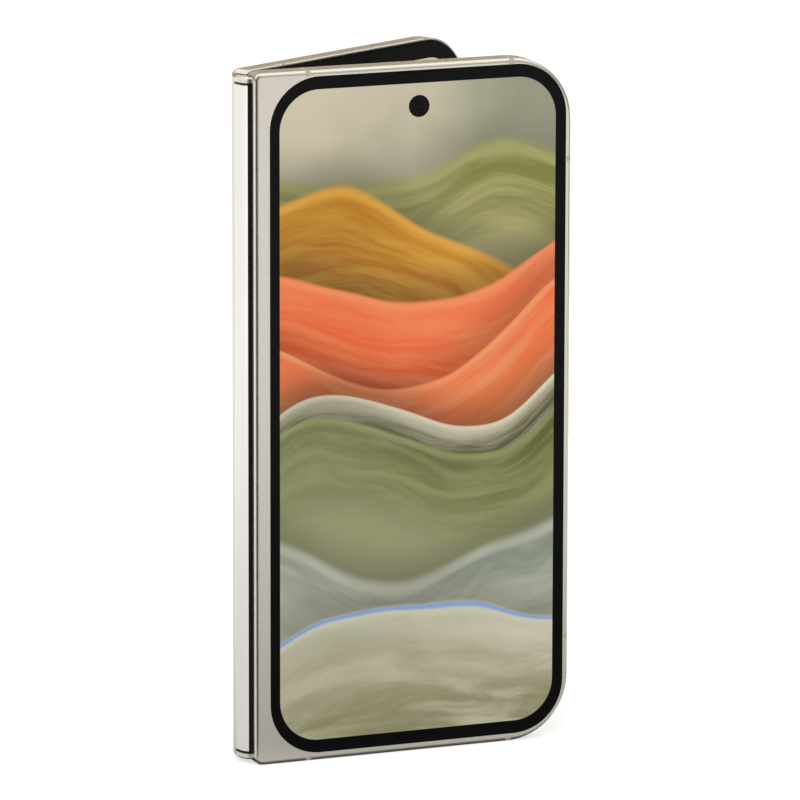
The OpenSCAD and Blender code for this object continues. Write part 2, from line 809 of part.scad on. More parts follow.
// the brackets reach to the inside of the cover
bracket_x = pivot_x - sqrt(pow(spine_r - cover_wall, 2) - pow(bracket_y - pivot_y, 2)) + 0.04;
module hinge_brackets() {
    module block(y0, y1, z0, z1) {
        translate([bracket_x, y0, z0]) cube([0.02 - bracket_x, y1 - y0, z1 - z0]);
    }
    color(steel) on_spine() both_ends() difference() {
        union() {
            block(-bracket_y, bracket_y, bracket_z[0], bracket_z[1]);
            block(-bracket_y, bracket_y, bracket_z[1] + 0.7, bracket_z[1] + 5.7);
            block(-bracket_y, 0.25 - bracket_y, bracket_z[1], bracket_z[1] + 0.7);
            block(bracket_y - 0.25, bracket_y, bracket_z[1], bracket_z[1] + 0.7);
        }
        for (s = [-1, 1]) post(idler_x, s * pivot_y, shaft_r + run_gap, 0, bracket_z[1] + 0.85);
    }
}

module friction_discs() {
    color(gold) on_spine() both_ends() for (s = [-1, 1]) difference() {
        post(idler_x, s * pivot_y, 0.6, bracket_z[1] + 0.03, bracket_z[1] + 0.67);
        post(idler_x, s * pivot_y, shaft_r + run_gap, 0, 10);
    }
}

module hinge_flex() {
    color(gold) on_spine() {
        translate([bracket_x, -1.4, half_h / 2 - 11]) cube([0.12, 2.8, 22]);
        for (z = [-10, 6]) translate([bracket_x + 0.12, -1.2, half_h / 2 + z]) cube([1.0, 2.4, 4]);
    }
}

module inner_display_fold() {
    // the free part of the folding display, as one teardrop loop
    color(black) on_spine() translate([0, 0, flex_margin])
        linear_extrude(half_h - 2 * flex_margin) polygon(concat(loop_outer, loop_inner));
}

module idler(first, side) {
    both_ends() {
        translate([idler_x, side * pivot_y, cover_z + 0.05]) linear_extrude(gear_zone - cover_z - 0.05)
            gear_outline(idler_teeth, first, idler_teeth);
        post(idler_x, side * pivot_y, shaft_r, cap_z + 0.45, bracket_z[1] + 0.75);
    }
}

module front_idlers() {
    color(gold) on_spine() idler(18 + idler_ratio * turn, -1);
}

module rear_idlers() {
    color(gold) on_spine() idler(-idler_ratio * turn, 1);
}

// ---------------------------------------------------------------- rear half

rear_floor_d = glass_d - 0.4;
island_x1 = half_w - island_side;
island_x0 = island_x1 - island_w;
island_z1 = half_h - island_top;
island_z0 = island_z1 - island_h;
window_x1 = island_x1 - 5;
window_x0 = window_x1 - window_w;
window_z = [island_z1 - 4.2 - window_h / 2, island_z0 + 4.2 + window_h / 2];
lens_x = [window_x1 - window_h / 2, window_x0 + window_h / 2];
flash_x = (island_x0 + window_x0) / 2 + 0.5;
island_top_d = half_t + island_rise;
usb_x = half_w / 2;
usb_d = 2.4;
usb_set_back = 0.2;
rear_speaker_x = half_w - 20;
rear_floor_z = 22;
inner_selfie = [half_w - flex_margin - 6.5, half_h - flex_margin - 7];
back_x1 = half_w - back_margin;
back_z1 = half_h - back_margin;
back_corner_r = corner_r - back_margin;

module pill(x0, x1, z, r) {
    translate([x0 + r, z - r]) square([x1 - x0 - 2 * r, 2 * r]);
    for (x = [x0 + r, x1 - r]) translate([x, z]) circle(r);
}

module rear_frame() {
    color(porcelain) on_rear() difference() {
        union() {
            difference() {
                blank(back_edge_r);
                hinge_room();
                inner_recess();
                bay_room();
                // deeper bay, as this half has no outer display
                intersection() {
                    layer(bay_d, rear_floor_d) half_outline(bay_wall);
                    translate([bay_x0, -9, 0]) cube([half_w, 12, half_h]);
                }
                layer(glass_d, half_t + 1)
                    plain_round_rect(glass_x0 - seat_gap, back_margin - seat_gap,
                        back_x1 + seat_gap, back_z1 + seat_gap, back_corner_r + seat_gap);
            }
            for (p = concat(foot_screws, rear_bay_screws))
                peg(p[0], p[1], 1.15, 2.45, rear_floor_d + 0.1);
        }
        for (p = concat(foot_screws, rear_bay_screws)) boss_hole(p);
        band_slots();
        arm_slots();
        // room for the cameras and the flash under the island
        for (x = lens_x) peg(x, window_z[0], lens_r + 0.1, 3, half_t);
        peg(lens_x[0], window_z[1], lens_r + 0.1, 3, half_t);
        peg(flash_x, window_z[1], 1.7, 3, half_t);
        // charging socket
        translate([0, -face_y - usb_d, -1]) linear_extrude(4)
            pill(usb_x - usb_w / 2 - 0.04, usb_x + usb_w / 2 + 0.04, 0, usb_h / 2 + 0.04);
        // speaker and microphone holes
        for (k = [-2 : 2]) translate([rear_speaker_x + 2 * k, -face_y - usb_d, -1])
            cylinder(r = 0.6, h = 5);
        translate([usb_x - 10.5, -face_y - usb_d, -1]) cylinder(r = 0.4, h = 5);
    }
}

module rear_glass() {
    color(porcelain) on_rear() difference() {
        layer(glass_d + 0.01, half_t - 0.03)
            plain_round_rect(glass_x0, back_margin, back_x1, back_z1, back_corner_r);
        layer(glass_d - 1, half_t + 1) plain_round_rect(island_x0 - 0.08, island_z0 - 0.08,
            island_x1 + 0.08, island_z1 + 0.08, island_r + 0.08);
        // microphone beside the island
        peg(island_x0 - 3.5, window_z[0], 0.4, 4, 6);
    }
}

module camera_island() {
    color(porcelain) on_rear() difference() {
        union() {
            layer(glass_d + 0.01, island_top_d - 0.5)
                plain_round_rect(island_x0, island_z0, island_x1, island_z1, island_r);
            for (k = [0 : 1]) layer(island_top_d - 0.5 + k * 0.25, island_top_d - 0.25 + k * 0.25)
                plain_round_rect(island_x0 + 0.12 + 0.28 * k, island_z0 + 0.12 + 0.28 * k,
                    island_x1 - 0.12 - 0.28 * k, island_z1 - 0.12 - 0.28 * k,
                    island_r - 0.12 - 0.28 * k);
        }
        for (z = window_z) layer(island_top_d - 0.55, island_top_d + 1)
            pill(window_x0 - 0.05, window_x1 + 0.05, z, window_h / 2 + 0.05);
        // hollow behind the windows
        for (z = window_z) layer(glass_d - 1, island_top_d)
            pill(window_x0 + 0.8, window_x1 - 0.8, z, window_h / 2 - 0.8);
        peg(flash_x, window_z[1], 3.1, island_top_d - 0.5, island_top_d + 1);
        peg(flash_x, window_z[1], 1.6, glass_d - 1, island_top_d);
    }
}

module lens_window(z) {
    layer(island_top_d - 0.54, island_top_d - 0.04)
        pill(window_x0, window_x1, z, window_h / 2);
}

module lens_window_upper() {
    color([0.04, 0.04, 0.05, 0.5]) on_rear() lens_window(window_z[0]);
}

module lens_window_lower() {
    color([0.04, 0.04, 0.05, 0.5]) on_rear() lens_window(window_z[1]);
}

// A camera: its square module in the bay, stepped barrel and front lens
module camera_module(x, z, r) {
    round_bay(x - 5.2, x + 5.2, 0.9, rear_floor_d - 0.15, z - 5.2, z + 5.2, 0.8);
    difference() {
        union() {
            peg(x, z, r, rear_floor_d - 0.15, island_top_d - 0.62);
        }
        local() translate([x, z, island_top_d - 1.5])
            cylinder(r1 = r * 0.5, r2 = r * 0.86, h = 1.1);
    }
    local() translate([x, z, island_top_d - 1.5]) cylinder(r1 = r * 0.5, r2 = r * 0.3, h = 0.35);
}

module main_camera() {
    color(graphite) on_rear() camera_module(lens_x[0], window_z[0], lens_r);
}

module ultrawide_camera() {
    color(graphite) on_rear() camera_module(lens_x[1], window_z[0], lens_r);
}

module tele_camera() {
    color(graphite) on_rear() camera_module(lens_x[0], window_z[1], lens_r);
}

module camera_flash() {
    color([0.95, 0.93, 0.8]) on_rear() {
        peg(flash_x, window_z[1], 3.0, island_top_d - 0.48, island_top_d - 0.03);
        peg(flash_x, window_z[1], 1.5, 3.6, island_top_d - 0.48);
    }
}

module inner_selfie_camera() {
    color(graphite) on_rear() {
        peg(inner_selfie[0], inner_selfie[1], inner_selfie_r, flex_d + 0.03, 1.2);
        round_bay(inner_selfie[0] - 2.4, inner_selfie[0] + 2.4, 1.2, 3.4,
            inner_selfie[1] - 2.4, inner_selfie[1] + 2.4, 0.5);
    }
}

// The rear battery's x and z ranges
rear_cell = [bay_x0 + 3.2, half_w - 5, rear_floor_z, board_z - 5];
module rear_battery() {
    color(graphite) on_rear() {
        round_bay(rear_cell[0], rear_cell[1], 0.85, 3.7, rear_cell[2], rear_cell[3], 1.5);
        round_bay(rear_cell[0] + 21, rear_cell[0] + 31, 1.1, 2.4, rear_cell[3],
            rear_cell[3] + 2.5, 0.5);
    }
}

module main_board() {
    side = 5.2 + 2 * part_gap;
    color(board_green) on_rear() difference() {
        round_bay(bay_x0 + 3.6, half_w - 4, 2.5, 3.1, board_z, half_h - 5.2, 2);
        for (p = [[lens_x[0], window_z[0]], [lens_x[1], window_z[0]], [lens_x[0], window_z[1]]])
            round_bay(p[0] - side, p[0] + side, 0, 6, p[1] - side, p[1] + side, 1);
        bay(lens_x[0] - 2, half_w, 0, 6, window_z[0] - 4, half_h);
        bay(0, bay_x0 + 5.2, 0, 6, foot_screws[1][1] - 4, half_h);
        peg(flash_x, window_z[1], 1.5 + part_gap, 0, 6);
        for (p = rear_bay_screws) peg(p[0], p[1], 1.15 + 2 * part_gap, 0, 6);
        bay(half_w - 4.8, half_w, 0, 6, half_h - 22, half_h - 13);
    }
}

module board_shields() {
    x0 = bay_x0 + 6.2;
    color(steel) on_rear() {
        round_bay(x0, x0 + 24, 0.95, 2.48, board_z + 4, board_z + 24, 1);
        round_bay(half_w - 25, half_w - 7, 0.95, 2.48, board_z + 2, board_z + 20, 1);
        round_bay(x0, lens_x[1] - 5.2 - 2 * part_gap, 1.1, 2.48, half_h - 27, half_h - 13, 1);
        round_bay(x0 + 1, x0 + 18, 3.12, 4.0, board_z + 6, board_z + 20, 1);
    }
}

module charging_coil() {
    x = (rear_cell[0] + rear_cell[1]) / 2;
    z = (rear_cell[2] + rear_cell[3]) / 2;
    color([0.72, 0.45, 0.25]) on_rear() {
        difference() {
            peg(x, z, coil_r, 3.76, 4.06);
            peg(x, z, coil_r / 2, 3, 5);
        }
        difference() {
            bay(x - 4, x + 2, 3.76, 4.06, z + coil_r - 1, rear_cell[3] + 1);
            peg(x, z, coil_r + 0.02, 3, 5);
        }
    }
}

module usb_socket() {
    color(steel) on_rear() {
        difference() {
            translate([0, -face_y - usb_d, usb_set_back]) linear_extrude(usb_depth)
                pill(usb_x - usb_w / 2, usb_x + usb_w / 2, 0, usb_h / 2);
            translate([0, -face_y - usb_d, -1]) linear_extrude(usb_depth + 0.5 + usb_set_back)
                pill(usb_x - usb_w / 2 + 0.3, usb_x + usb_w / 2 - 0.3, 0, usb_h / 2 - 0.3);
        }
        bay(usb_x - 3.34, usb_x + 3.34, usb_d - 0.35, usb_d + 0.35, 2.3, usb_depth);
    }
}

module rear_speaker() {
    color(graphite) on_rear() difference() {
        union() {
            round_bay(rear_speaker_x - 5.8, rear_speaker_x + 5.8, 0.9, 3.9, bay_z0 + 1.4,
                rear_floor_z - 2.5, 1);
            bay(rear_speaker_x - 5.1, rear_speaker_x + 5.1, 1.3, 3.6, bay_z0 + 0.4, bay_z0 + 2.4);
        }
        bay(rear_speaker_x - 4.7, rear_speaker_x + 4.7, 1.7, 3.3, bay_z0 - 0.2, bay_z0 + 3);
    }
}

module rear_support_plate() {
    color(steel) on_rear() difference() {
        intersection() {
            layer(plate_d, bay_d - 0.02) half_outline(1.35);
            translate([fold_span + 0.25, -9, 0]) cube([half_w, 12, half_h]);
        }
        both_ends() bay(0, bay_x0 + 1.6, 0, 2, 0, gear_zone + 0.15);
        peg(inner_selfie[0], inner_selfie[1], inner_selfie_r + 0.15, 0, 2);
    }
}

module inner_display_rear() {
    color(black) on_rear() flat_display();
}

module inner_bezel_rear() {
    color(black) on_rear() inner_bezel();
}

module rear_antenna_bands() {
    color(porcelain_dark) on_rear() band_blank(back_edge_r);
}

module rear_gear_arms() {
    color(steel) on_rear() gear_arm(165, 1);
}

module rear_screws() {
    color(steel) on_rear() {
        for (p = foot_screws) screw(p, bay_d + 0.1);
        for (p = rear_bay_screws) screw(p, 2.1);
    }
}

module rear_magnets() {
    color(steel) on_rear() magnets();
}

// ---------------------------------------------------------------- fold of the display

// Centre line of the free display, from the middle of the fold to the front half. It is the
// open display's straight line, each point turned about the pivot by its share of the closing.
half_length = fold_span + lip_gap / 2;
arc_steps = 14;
mid_d = flex_drop + flex_t / 2;
open_x = open_plane_x - mid_d;

function ease(t) = t * t * (3 - 2 * t);
function turned(p, a) = [
    pivot_x + (p[0] - pivot_x) * cos(a) - (p[1] + pivot_y) * sin(a),
    -pivot_y + (p[0] - pivot_x) * sin(a) + (p[1] + pivot_y) * cos(a)
];
function fold_at(t) = turned([open_x, -t * half_length], ease(t) * (90 - turn));
function fold_dir(t) = t <= 0 ? [0, -1]
    : t >= 1 ? turned([open_x, -2 * half_length], 90 - turn) - fold_at(1)
    : fold_at(t + 0.005) - fold_at(t - 0.005);
function fold_side(t, s) = let (d = fold_dir(t), u = d / norm(d))
    fold_at(t) + s * [-u[1], u[0]];
function fold_line(s) = [for (k = [arc_steps : -1 : 0]) fold_side(k / arc_steps, s)];
function mirrored(line) = [for (k = [len(line) - 2 : -1 : 0]) [line[k][0], -line[k][1]]];
function reversed(line) = [for (k = [len(line) - 1 : -1 : 0]) line[k]];
back_line = fold_line(-flex_t / 2);
view_line = fold_line(flex_t / 2);
loop_outer = concat(back_line, mirrored(back_line));
loop_inner = reversed(concat(view_line, mirrored(view_line)));

// ---------------------------------------------------------------- whole

front_frame();
cover_glass();
cover_display();
selfie_camera();
earpiece_slot();
front_battery();
sub_board();
vibration_motor();
bottom_speaker();
earpiece_speaker();
card_reader();
card_tray();
front_support_plate();
inner_display_front();
inner_bezel_front();
front_antenna_bands();
front_gear_arms();
front_screws();
front_magnets();
power_button();
power_switch();
volume_rocker();
volume_switches();
hinge_cover();
hinge_seals();
hinge_end_caps();
hinge_support_plate();
hinge_brackets();
friction_discs();
hinge_flex();
inner_display_fold();
front_idlers();
rear_idlers();
rear_frame();
rear_glass();
camera_island();
lens_window_upper();
lens_window_lower();
main_camera();
ultrawide_camera();
tele_camera();
camera_flash();
inner_selfie_camera();
rear_battery();
main_board();
board_shields();
charging_coil();
usb_socket();
rear_speaker();
rear_support_plate();
inner_display_rear();
inner_bezel_rear();
rear_antenna_bands();
rear_gear_arms();
rear_screws();
rear_magnets();
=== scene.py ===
import json
import math

import bmesh
import bpy
from mathutils import Matrix, Vector


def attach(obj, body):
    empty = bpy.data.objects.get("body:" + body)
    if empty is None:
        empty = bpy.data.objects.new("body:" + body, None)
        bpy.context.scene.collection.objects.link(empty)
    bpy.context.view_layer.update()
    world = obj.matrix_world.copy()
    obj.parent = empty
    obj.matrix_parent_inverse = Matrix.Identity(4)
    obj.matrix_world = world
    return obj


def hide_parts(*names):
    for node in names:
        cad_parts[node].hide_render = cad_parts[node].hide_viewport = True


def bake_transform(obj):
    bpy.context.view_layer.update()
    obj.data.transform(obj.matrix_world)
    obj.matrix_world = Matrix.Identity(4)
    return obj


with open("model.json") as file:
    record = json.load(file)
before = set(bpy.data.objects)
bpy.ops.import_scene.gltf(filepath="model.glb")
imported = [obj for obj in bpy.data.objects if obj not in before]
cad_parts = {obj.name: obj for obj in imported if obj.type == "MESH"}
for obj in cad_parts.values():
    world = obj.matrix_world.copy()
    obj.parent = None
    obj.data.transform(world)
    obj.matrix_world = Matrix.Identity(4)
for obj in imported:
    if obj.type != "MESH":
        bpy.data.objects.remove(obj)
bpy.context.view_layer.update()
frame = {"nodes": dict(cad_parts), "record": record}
NODES = frame["nodes"]
MM = 0.001
MICRON = 0.000001

# ------------------------------------------------------------------ sizes, in millimetres
HALF_W, HALF_H, HALF_T, FOLD_GAP = 75.0, 155.0, 5.1, 0.3
FACE_Y = FOLD_GAP / 2
TURN = math.radians(27.7 / 2)   # how far each half stands open at rest
PIVOT = Vector((0.55, 0.65))    # a half's axis, from the hinge side and from the fold's middle
CORNER_R = 14.4
RIM = 0.45      # bright metal left round the inner face
CAP_GAP_SHADE_FROM_END = 2.29   # from an end to the painted shade line, black, that stands for the gap between its cap and the polished cover

# The folding display: its flat parts' depth, thickness, margin and corners, and its free part
FLEX_DROP, FLEX_T, FLEX_MARGIN, FLEX_R = 0.1, 0.35, 4.1, 9.0
FOLD_SPAN, LIP_GAP = 5.4, 0.2

# Places on a half are x from the hinge side, the depth below the inner face, and z
SELFIE, SELFIE_FACE_R = (38.575, 4.51, 145.7), 1.75
INNER_SELFIE, INNER_SELFIE_FACE_R = (HALF_W - FLEX_MARGIN - 6.5, 0.48, HALF_H - FLEX_MARGIN - 7), 1.6
FLASH, CHIP_SHIFT = (20.0, 7.47, 123.0), 0.75
LENSES = ((56.2, 137.0), (31.8, 137.0), (56.2, 123.0))
LENS_DEPTH, WINDOW_DEPTH = 6.6, 7.2
MIC = (10.0, 137.0)
COIL = (39.5, 3.9, 51.5)

# The screens' lit areas as x0, z0, x1, z1 with the radius of their corners, the black round their
# cameras, and the area that the inner picture runs over
LIT, LIT_R, SELFIE_R, CLEAR_R = (5.8, 4.7, 71.15, 150.8), 9.2, 2.45, 1.725
INNER_LIT, INNER_LIT_R, INNER_SELFIE_R = (-70.55, 4.5, 70.55, HALF_H - 4.5), 8.5, 2.34
INNER_PICTURE = (-70.5, 5.4, 70.5, 149.8)


# ------------------------------------------------------------------ frames
def turned(p, centre, angle):
    """A point of the plan, turned about a centre."""
    c, s = math.cos(angle), math.sin(angle)
    dx, dy = p[0] - centre[0], p[1] - centre[1]
    return Vector((centre[0] + dx * c - dy * s, centre[1] + dx * s + dy * c))


def from_front(x, d, z):
    """A place on the front half, in metres in the row frame."""
    return Vector((x - HALF_W / 2, HALF_T / 2 - d, z)) * MM


def from_spine(x, y, z):
    """A place on the spine, with x from the hinge side and y across the fold, in metres in the row
    frame."""
    p = turned((x, y), (PIVOT.x, -PIVOT.y), TURN)
    return Vector((p.x - HALF_W / 2, p.y + FACE_Y + HALF_T / 2, z)) * MM


def from_rear(x, d, z):
    """A place on the rear half, in metres in the row frame."""
    p = turned((x, FACE_Y + d), (PIVOT.x, PIVOT.y), TURN)
    return from_spine(p.x, p.y, z)


# ------------------------------------------------------------------ node helpers
class Nodes:
    """Builds shader maths in one material."""

    def __init__(self, name):
        self.mat = bpy.data.materials.new(name)
        self.mat.use_nodes = True
        self.tree = self.mat.node_tree
        self.tree.nodes.clear()
        self.out = self.node("ShaderNodeOutputMaterial")

    def node(self, kind, **props):
        n = self.tree.nodes.new(kind)
        for key, value in props.items():
            setattr(n, key, value)
        return n

    def put(self, socket, value):
        """Links a socket to an output, or sets its value."""
        if isinstance(value, bpy.types.NodeSocket):
            self.tree.links.new(value, socket)
        elif isinstance(value, (tuple, list)) and len(value) == 3 and socket.type == "RGBA":
            socket.default_value = (*value, 1)
        else:
            socket.default_value = value

    def filled(self, n, values):
        """Puts values on a node's sockets, which are given by name or by number."""
        for key, value in values.items():
            self.put(n.inputs[key], value)
        return n

    def math(self, op, a, b=0.0):
        return self.filled(self.node("ShaderNodeMath", operation=op), {0: a, 1: b}).outputs[0]

    def add(self, a, b):
        return self.math("ADD", a, b)

    def sub(self, a, b):
        return self.math("SUBTRACT", a, b)

    def mul(self, a, b):
        return self.math("MULTIPLY", a, b)

    def hypot(self, a, b):
        return self.math("SQRT", self.add(self.mul(a, a), self.mul(b, b)))

    def step(self, x, lo, hi, to_lo=0.0, to_hi=1.0):
        """A smooth change from to_lo to to_hi, as x goes from lo to hi."""
        n = self.node("ShaderNodeMapRange", interpolation_type="SMOOTHSTEP", clamp=True)
        self.filled(n, {"Value": x, "From Min": lo, "From Max": hi, "To Min": to_lo, "To Max": to_hi})
        return n.outputs["Result"]

    def above(self, x, limit, soft):
        """1 above a limit and 0 below it, with an edge of plus or minus soft."""
        return self.step(x, limit - soft, limit + soft)

    def below(self, x, limit, soft):
        """1 below a limit and 0 above it, with an edge of plus or minus soft."""
        return self.step(x, limit - soft, limit + soft, 1.0, 0.0)

    def spread(self, noise, low, high, start=0.2):
        """A value that a noise moves between low and high."""
        return self.step(noise, start, 0.8, low, high)

    def mix(self, t, a, b):
        return self.filled(self.node("ShaderNodeMix", data_type="RGBA"), {0: t, 6: a, 7: b}).outputs[2]

    def noise(self, vector, scale, detail=2.0, rough=0.5, distort=0.0):
        n = self.node("ShaderNodeTexNoise")
        self.filled(n, {"Vector": vector, "Scale": scale, "Detail": detail, "Roughness": rough,
                        "Distortion": distort})
        return n.outputs[0]

    def coords(self):
        return self.node("ShaderNodeTexCoord").outputs["Object"]

    def vector(self, op, a, b, output=0):
        n = self.filled(self.node("ShaderNodeVectorMath", operation=op), {0: a, 1: b})
        return n.outputs[output]

    def distance(self, spot):
        """Distance in millimetres from a point given in metres."""
        n = self.node("ShaderNodeVectorMath", operation="LENGTH")
        self.put(n.inputs[0], self.vector("SUBTRACT", self.coords(), spot))
        return self.mul(n.outputs["Value"], 1000.0)

    def split(self, vector):
        return self.filled(self.node("ShaderNodeSeparateXYZ"), {0: vector}).outputs

    def joined(self, x, y, z=0.0):
        return self.filled(self.node("ShaderNodeCombineXYZ"), {0: x, 1: y, 2: z}).outputs[0]

    def bump(self, height, distance, strength):
        n = self.node("ShaderNodeBump")
        return self.filled(n, {"Strength": strength, "Distance": distance, "Height": height}).outputs[0]

    def surface(self, **values):
        n = self.node("ShaderNodeBsdfPrincipled")
        self.filled(n, {key.replace("_", " "): value for key, value in values.items()})
        self.put(self.out.inputs[0], n.outputs[0])
        return self.mat


def srgb(r, g, b):
    def one(c):
        c /= 255
        return c / 12.92 if c <= 0.04045 else ((c + 0.055) / 1.055) ** 2.4

    return one(r), one(g), one(b)


def dimmed(tone, share):
    return tuple(c * share for c in tone)


# ------------------------------------------------------------------ materials
def blasted(m, tone, rough):
    """A bead-blasted surface: a very fine grain and slightly uneven colour and gloss."""
    grain = m.noise(m.coords(), 9000, 2, 0.6)
    cloud = m.noise(m.coords(), 60)
    return {"Base_Color": m.mix(cloud, dimmed(tone, 0.96), tone),
            "Roughness": m.spread(grain, rough - 0.05, rough + 0.06),
            "Normal": m.bump(grain, 4 * MICRON, 0.35)}


def satin_metal(name, tone):
    m = Nodes(name)
    return m.surface(Metallic=1.0, **blasted(m, tone, 0.27))


def capped_metal(name, tone):
    """The frame's metal, with a painted shade line, black and not metal, where an end cap meets the
    polished cover: it stands for the shade in the gap between them.
    """
    m = Nodes(name)
    pos = m.coords()
    off = m.math("ABSOLUTE", m.sub(m.mul(m.split(pos)["Z"], 1000.0), HALF_H / 2))
    # painted shade: a black band near each end, where the gap between cap and cover would lie in shade
    painted_gap_shade = m.below(off, HALF_H / 2 - CAP_GAP_SHADE_FROM_END, 0.03)
    grain = m.noise(pos, 9000, 2, 0.6)
    return m.surface(Base_Color=m.mix(painted_gap_shade, tone, srgb(8, 8, 8)), Metallic=m.sub(1.0, painted_gap_shade),
                     Roughness=m.spread(grain, 0.24, 0.34), Normal=m.bump(grain, 4 * MICRON, 0.35))


def polished_metal():
    m = Nodes("polished_metal")
    pos = m.coords()
    smear = m.noise(m.vector("MULTIPLY", pos, (1, 1, 0.15)), 260, 3)
    micro = m.noise(pos, 4000)
    colour = m.mix(smear, srgb(236, 233, 227), srgb(243, 241, 236))
    return m.surface(Base_Color=colour, Metallic=1.0, Roughness=m.spread(smear, 0.13, 0.2),
                     Normal=m.bump(micro, 2 * MICRON, 0.15))


def brushed(name, tone, rough, stretch):
    m = Nodes(name)
    lines = m.noise(m.vector("MULTIPLY", m.coords(), stretch), 900, 3, 0.6)
    return m.surface(Base_Color=m.mix(lines, dimmed(tone, 0.82), tone), Metallic=1.0,
                     Roughness=m.spread(lines, rough - 0.08, rough + 0.1),
                     Normal=m.bump(lines, 10 * MICRON, 0.3))


def plastic(name, tone, rough, speckle=6000, gloss=0.5):
    m = Nodes(name)
    grain = m.noise(m.coords(), speckle, 2, 0.6)
    return m.surface(Base_Color=m.mix(grain, dimmed(tone, 0.8), tone),
                     Roughness=m.spread(grain, rough - 0.05, rough + 0.08),
                     Specular_IOR_Level=gloss, Normal=m.bump(grain, 10 * MICRON, 0.25))


def satin_glass(name, tone):
    """Etched back glass over an opaque coat."""
    m = Nodes(name)
    pos = m.coords()
    grain = m.noise(pos, 7000)
    cloud = m.noise(pos, 30)
    return m.surface(Base_Color=m.mix(cloud, dimmed(tone, 0.97), tone), IOR=1.5,
                     Roughness=m.spread(grain, 0.3, 0.38), Normal=m.bump(grain, 4 * MICRON, 0.3))


def circuit_board():
    m = Nodes("circuit_board")
    pos = m.coords()
    cells = m.node("ShaderNodeTexVoronoi", feature="F1", distance="CHEBYCHEV")
    m.filled(cells, {"Vector": pos, "Scale": 700})
    pads = m.below(cells.outputs["Distance"], 0.18, 0.02)
    lines = m.noise(m.vector("MULTIPLY", pos, (1, 1, 6)), 300, 1)
    traces = m.above(m.math("FRACT", m.mul(lines, 18)), 0.46, 0.04)
    green = m.mix(traces, srgb(14, 62, 40), srgb(26, 92, 58))
    return m.surface(Base_Color=m.mix(pads, green, srgb(196, 170, 110)), Metallic=m.mul(pads, 0.9),
                     Roughness=0.45, Normal=m.bump(m.add(traces, pads), 20 * MICRON, 0.4))


def windings():
    """Rings of wire round the charging coil's middle."""
    m = Nodes("coil_copper")
    wire = m.math("PINGPONG", m.mul(m.distance(from_rear(*COIL)), 2.2), 1.0)
    return m.surface(Base_Color=m.mix(wire, srgb(96, 48, 24), srgb(206, 128, 78)), Metallic=1.0,
                     Roughness=0.35, Normal=m.bump(wire, 100 * MICRON, 0.6))


def camera_front(name, spot, size):
    """A small camera's face: a deep blue pupil in black rings. size is its outer radius, and the
    rings start at shares of it."""
    m = Nodes(name)
    r = m.math("DIVIDE", m.distance(spot), size)
    colour = m.mix(m.step(r, 0.12, 0.3), srgb(6, 8, 20), srgb(18, 30, 62))
    for start, tone in ((0.33, (58, 60, 70)), (0.4, (7, 7, 9)), (0.66, (26, 26, 30)), (0.72, (5, 5, 6))):
        colour = m.mix(m.step(r, start, start + 0.03), colour, srgb(*tone))
    return m.surface(Base_Color=colour, Roughness=m.step(r, 0.34, 0.5, 0.04, 0.35),
                     Specular_IOR_Level=0.2)


def lens_glass(name, spot):
    """A coated camera lens, darker towards its pupil. Its radii are in millimetres."""
    m = Nodes(name)
    r = m.distance(spot)
    coat = m.mix(m.noise(m.coords(), 140, 1), srgb(30, 62, 140), srgb(92, 40, 120))
    colour = m.mix(m.step(r, 0.7, 1.0), srgb(2, 2, 4), coat)
    colour = m.mix(m.step(r, 1.5, 2.1), colour, srgb(5, 6, 8))
    return m.surface(Base_Color=colour, Metallic=0.35, Roughness=0.03, Specular_IOR_Level=0.8)


def nearest(m, spots):
    """Distance in millimetres from the nearest of some points given in metres."""
    near = m.distance(spots[0])
    for spot in spots[1:]:
        near = m.math("MINIMUM", near, m.distance(spot))
    return near


def window_glass(name):
    """A camera window: black-backed glass, clear over each lens inside a thin metal ring. Its
    radii are in millimetres."""
    m = Nodes(name)
    near = nearest(m, [from_rear(x, WINDOW_DEPTH, z) for x, z in LENSES])
    clear = m.below(near, 3.89, 0.03)
    ring = m.mul(m.above(near, 3.94, 0.02), m.below(near, 4.24, 0.02))
    film = m.noise(m.coords(), 120)
    colour = m.mix(clear, srgb(4, 4, 5), srgb(190, 190, 194))
    return m.surface(Base_Color=m.mix(ring, colour, srgb(150, 149, 150)), Metallic=ring,
                     Roughness=m.spread(film, 0.02, 0.05, start=0.3), Transmission_Weight=clear,
                     IOR=1.5, Specular_IOR_Level=0.18)


def flash_lens():
    """Frosted lens of fine rings over two pale yellow chips."""
    m = Nodes("flash_lens")
    x, d, z = FLASH
    r = m.distance(from_rear(*FLASH))
    chips = nearest(m, [from_rear(x, d, z + shift) for shift in (-CHIP_SHIFT, CHIP_SHIFT)])
    colour = m.mix(m.step(chips, 0.45, 1.0), srgb(226, 190, 92), srgb(222, 216, 196))
    colour = m.mix(m.step(r, 2.55, 2.7), colour, srgb(236, 234, 226))
    rings = m.math("PINGPONG", m.mul(r, 3.2), 1.0)
    return m.surface(Base_Color=colour, Roughness=0.16, Coat_Weight=0.6,
                     Normal=m.bump(rings, 120 * MICRON, 0.5))


def rounded_distance(m, x, z, box, r):
    """Signed distance, in the units of x and z, from a rounded rectangle's outline."""
    cx, cz = (box[0] + box[2]) / 2, (box[1] + box[3]) / 2
    hx, hz = (box[2] - box[0]) / 2 - r, (box[3] - box[1]) / 2 - r
    qx = m.sub(m.math("ABSOLUTE", m.sub(x, cx)), hx)
    qz = m.sub(m.math("ABSOLUTE", m.sub(z, cz)), hz)
    outside = m.hypot(m.math("MAXIMUM", qx, 0.0), m.math("MAXIMUM", qz, 0.0))
    inside = m.math("MINIMUM", m.math("MAXIMUM", qx, qz), 0.0)
    return m.sub(m.add(outside, inside), r)


def half_place(m, place):
    """x, depth and z of a half in millimetres, from its from_ function."""
    start = place(0, 0, 0)
    shift = m.vector("SUBTRACT", m.coords(), start)
    ends = (place(1, 0, 0), place(0, 1, 0), place(0, 0, 1))
    # each end is a millimetre from the start, and the shift is in metres
    return [m.vector("DOT_PRODUCT", shift, (end - start) * 1e6, "Value") for end in ends]


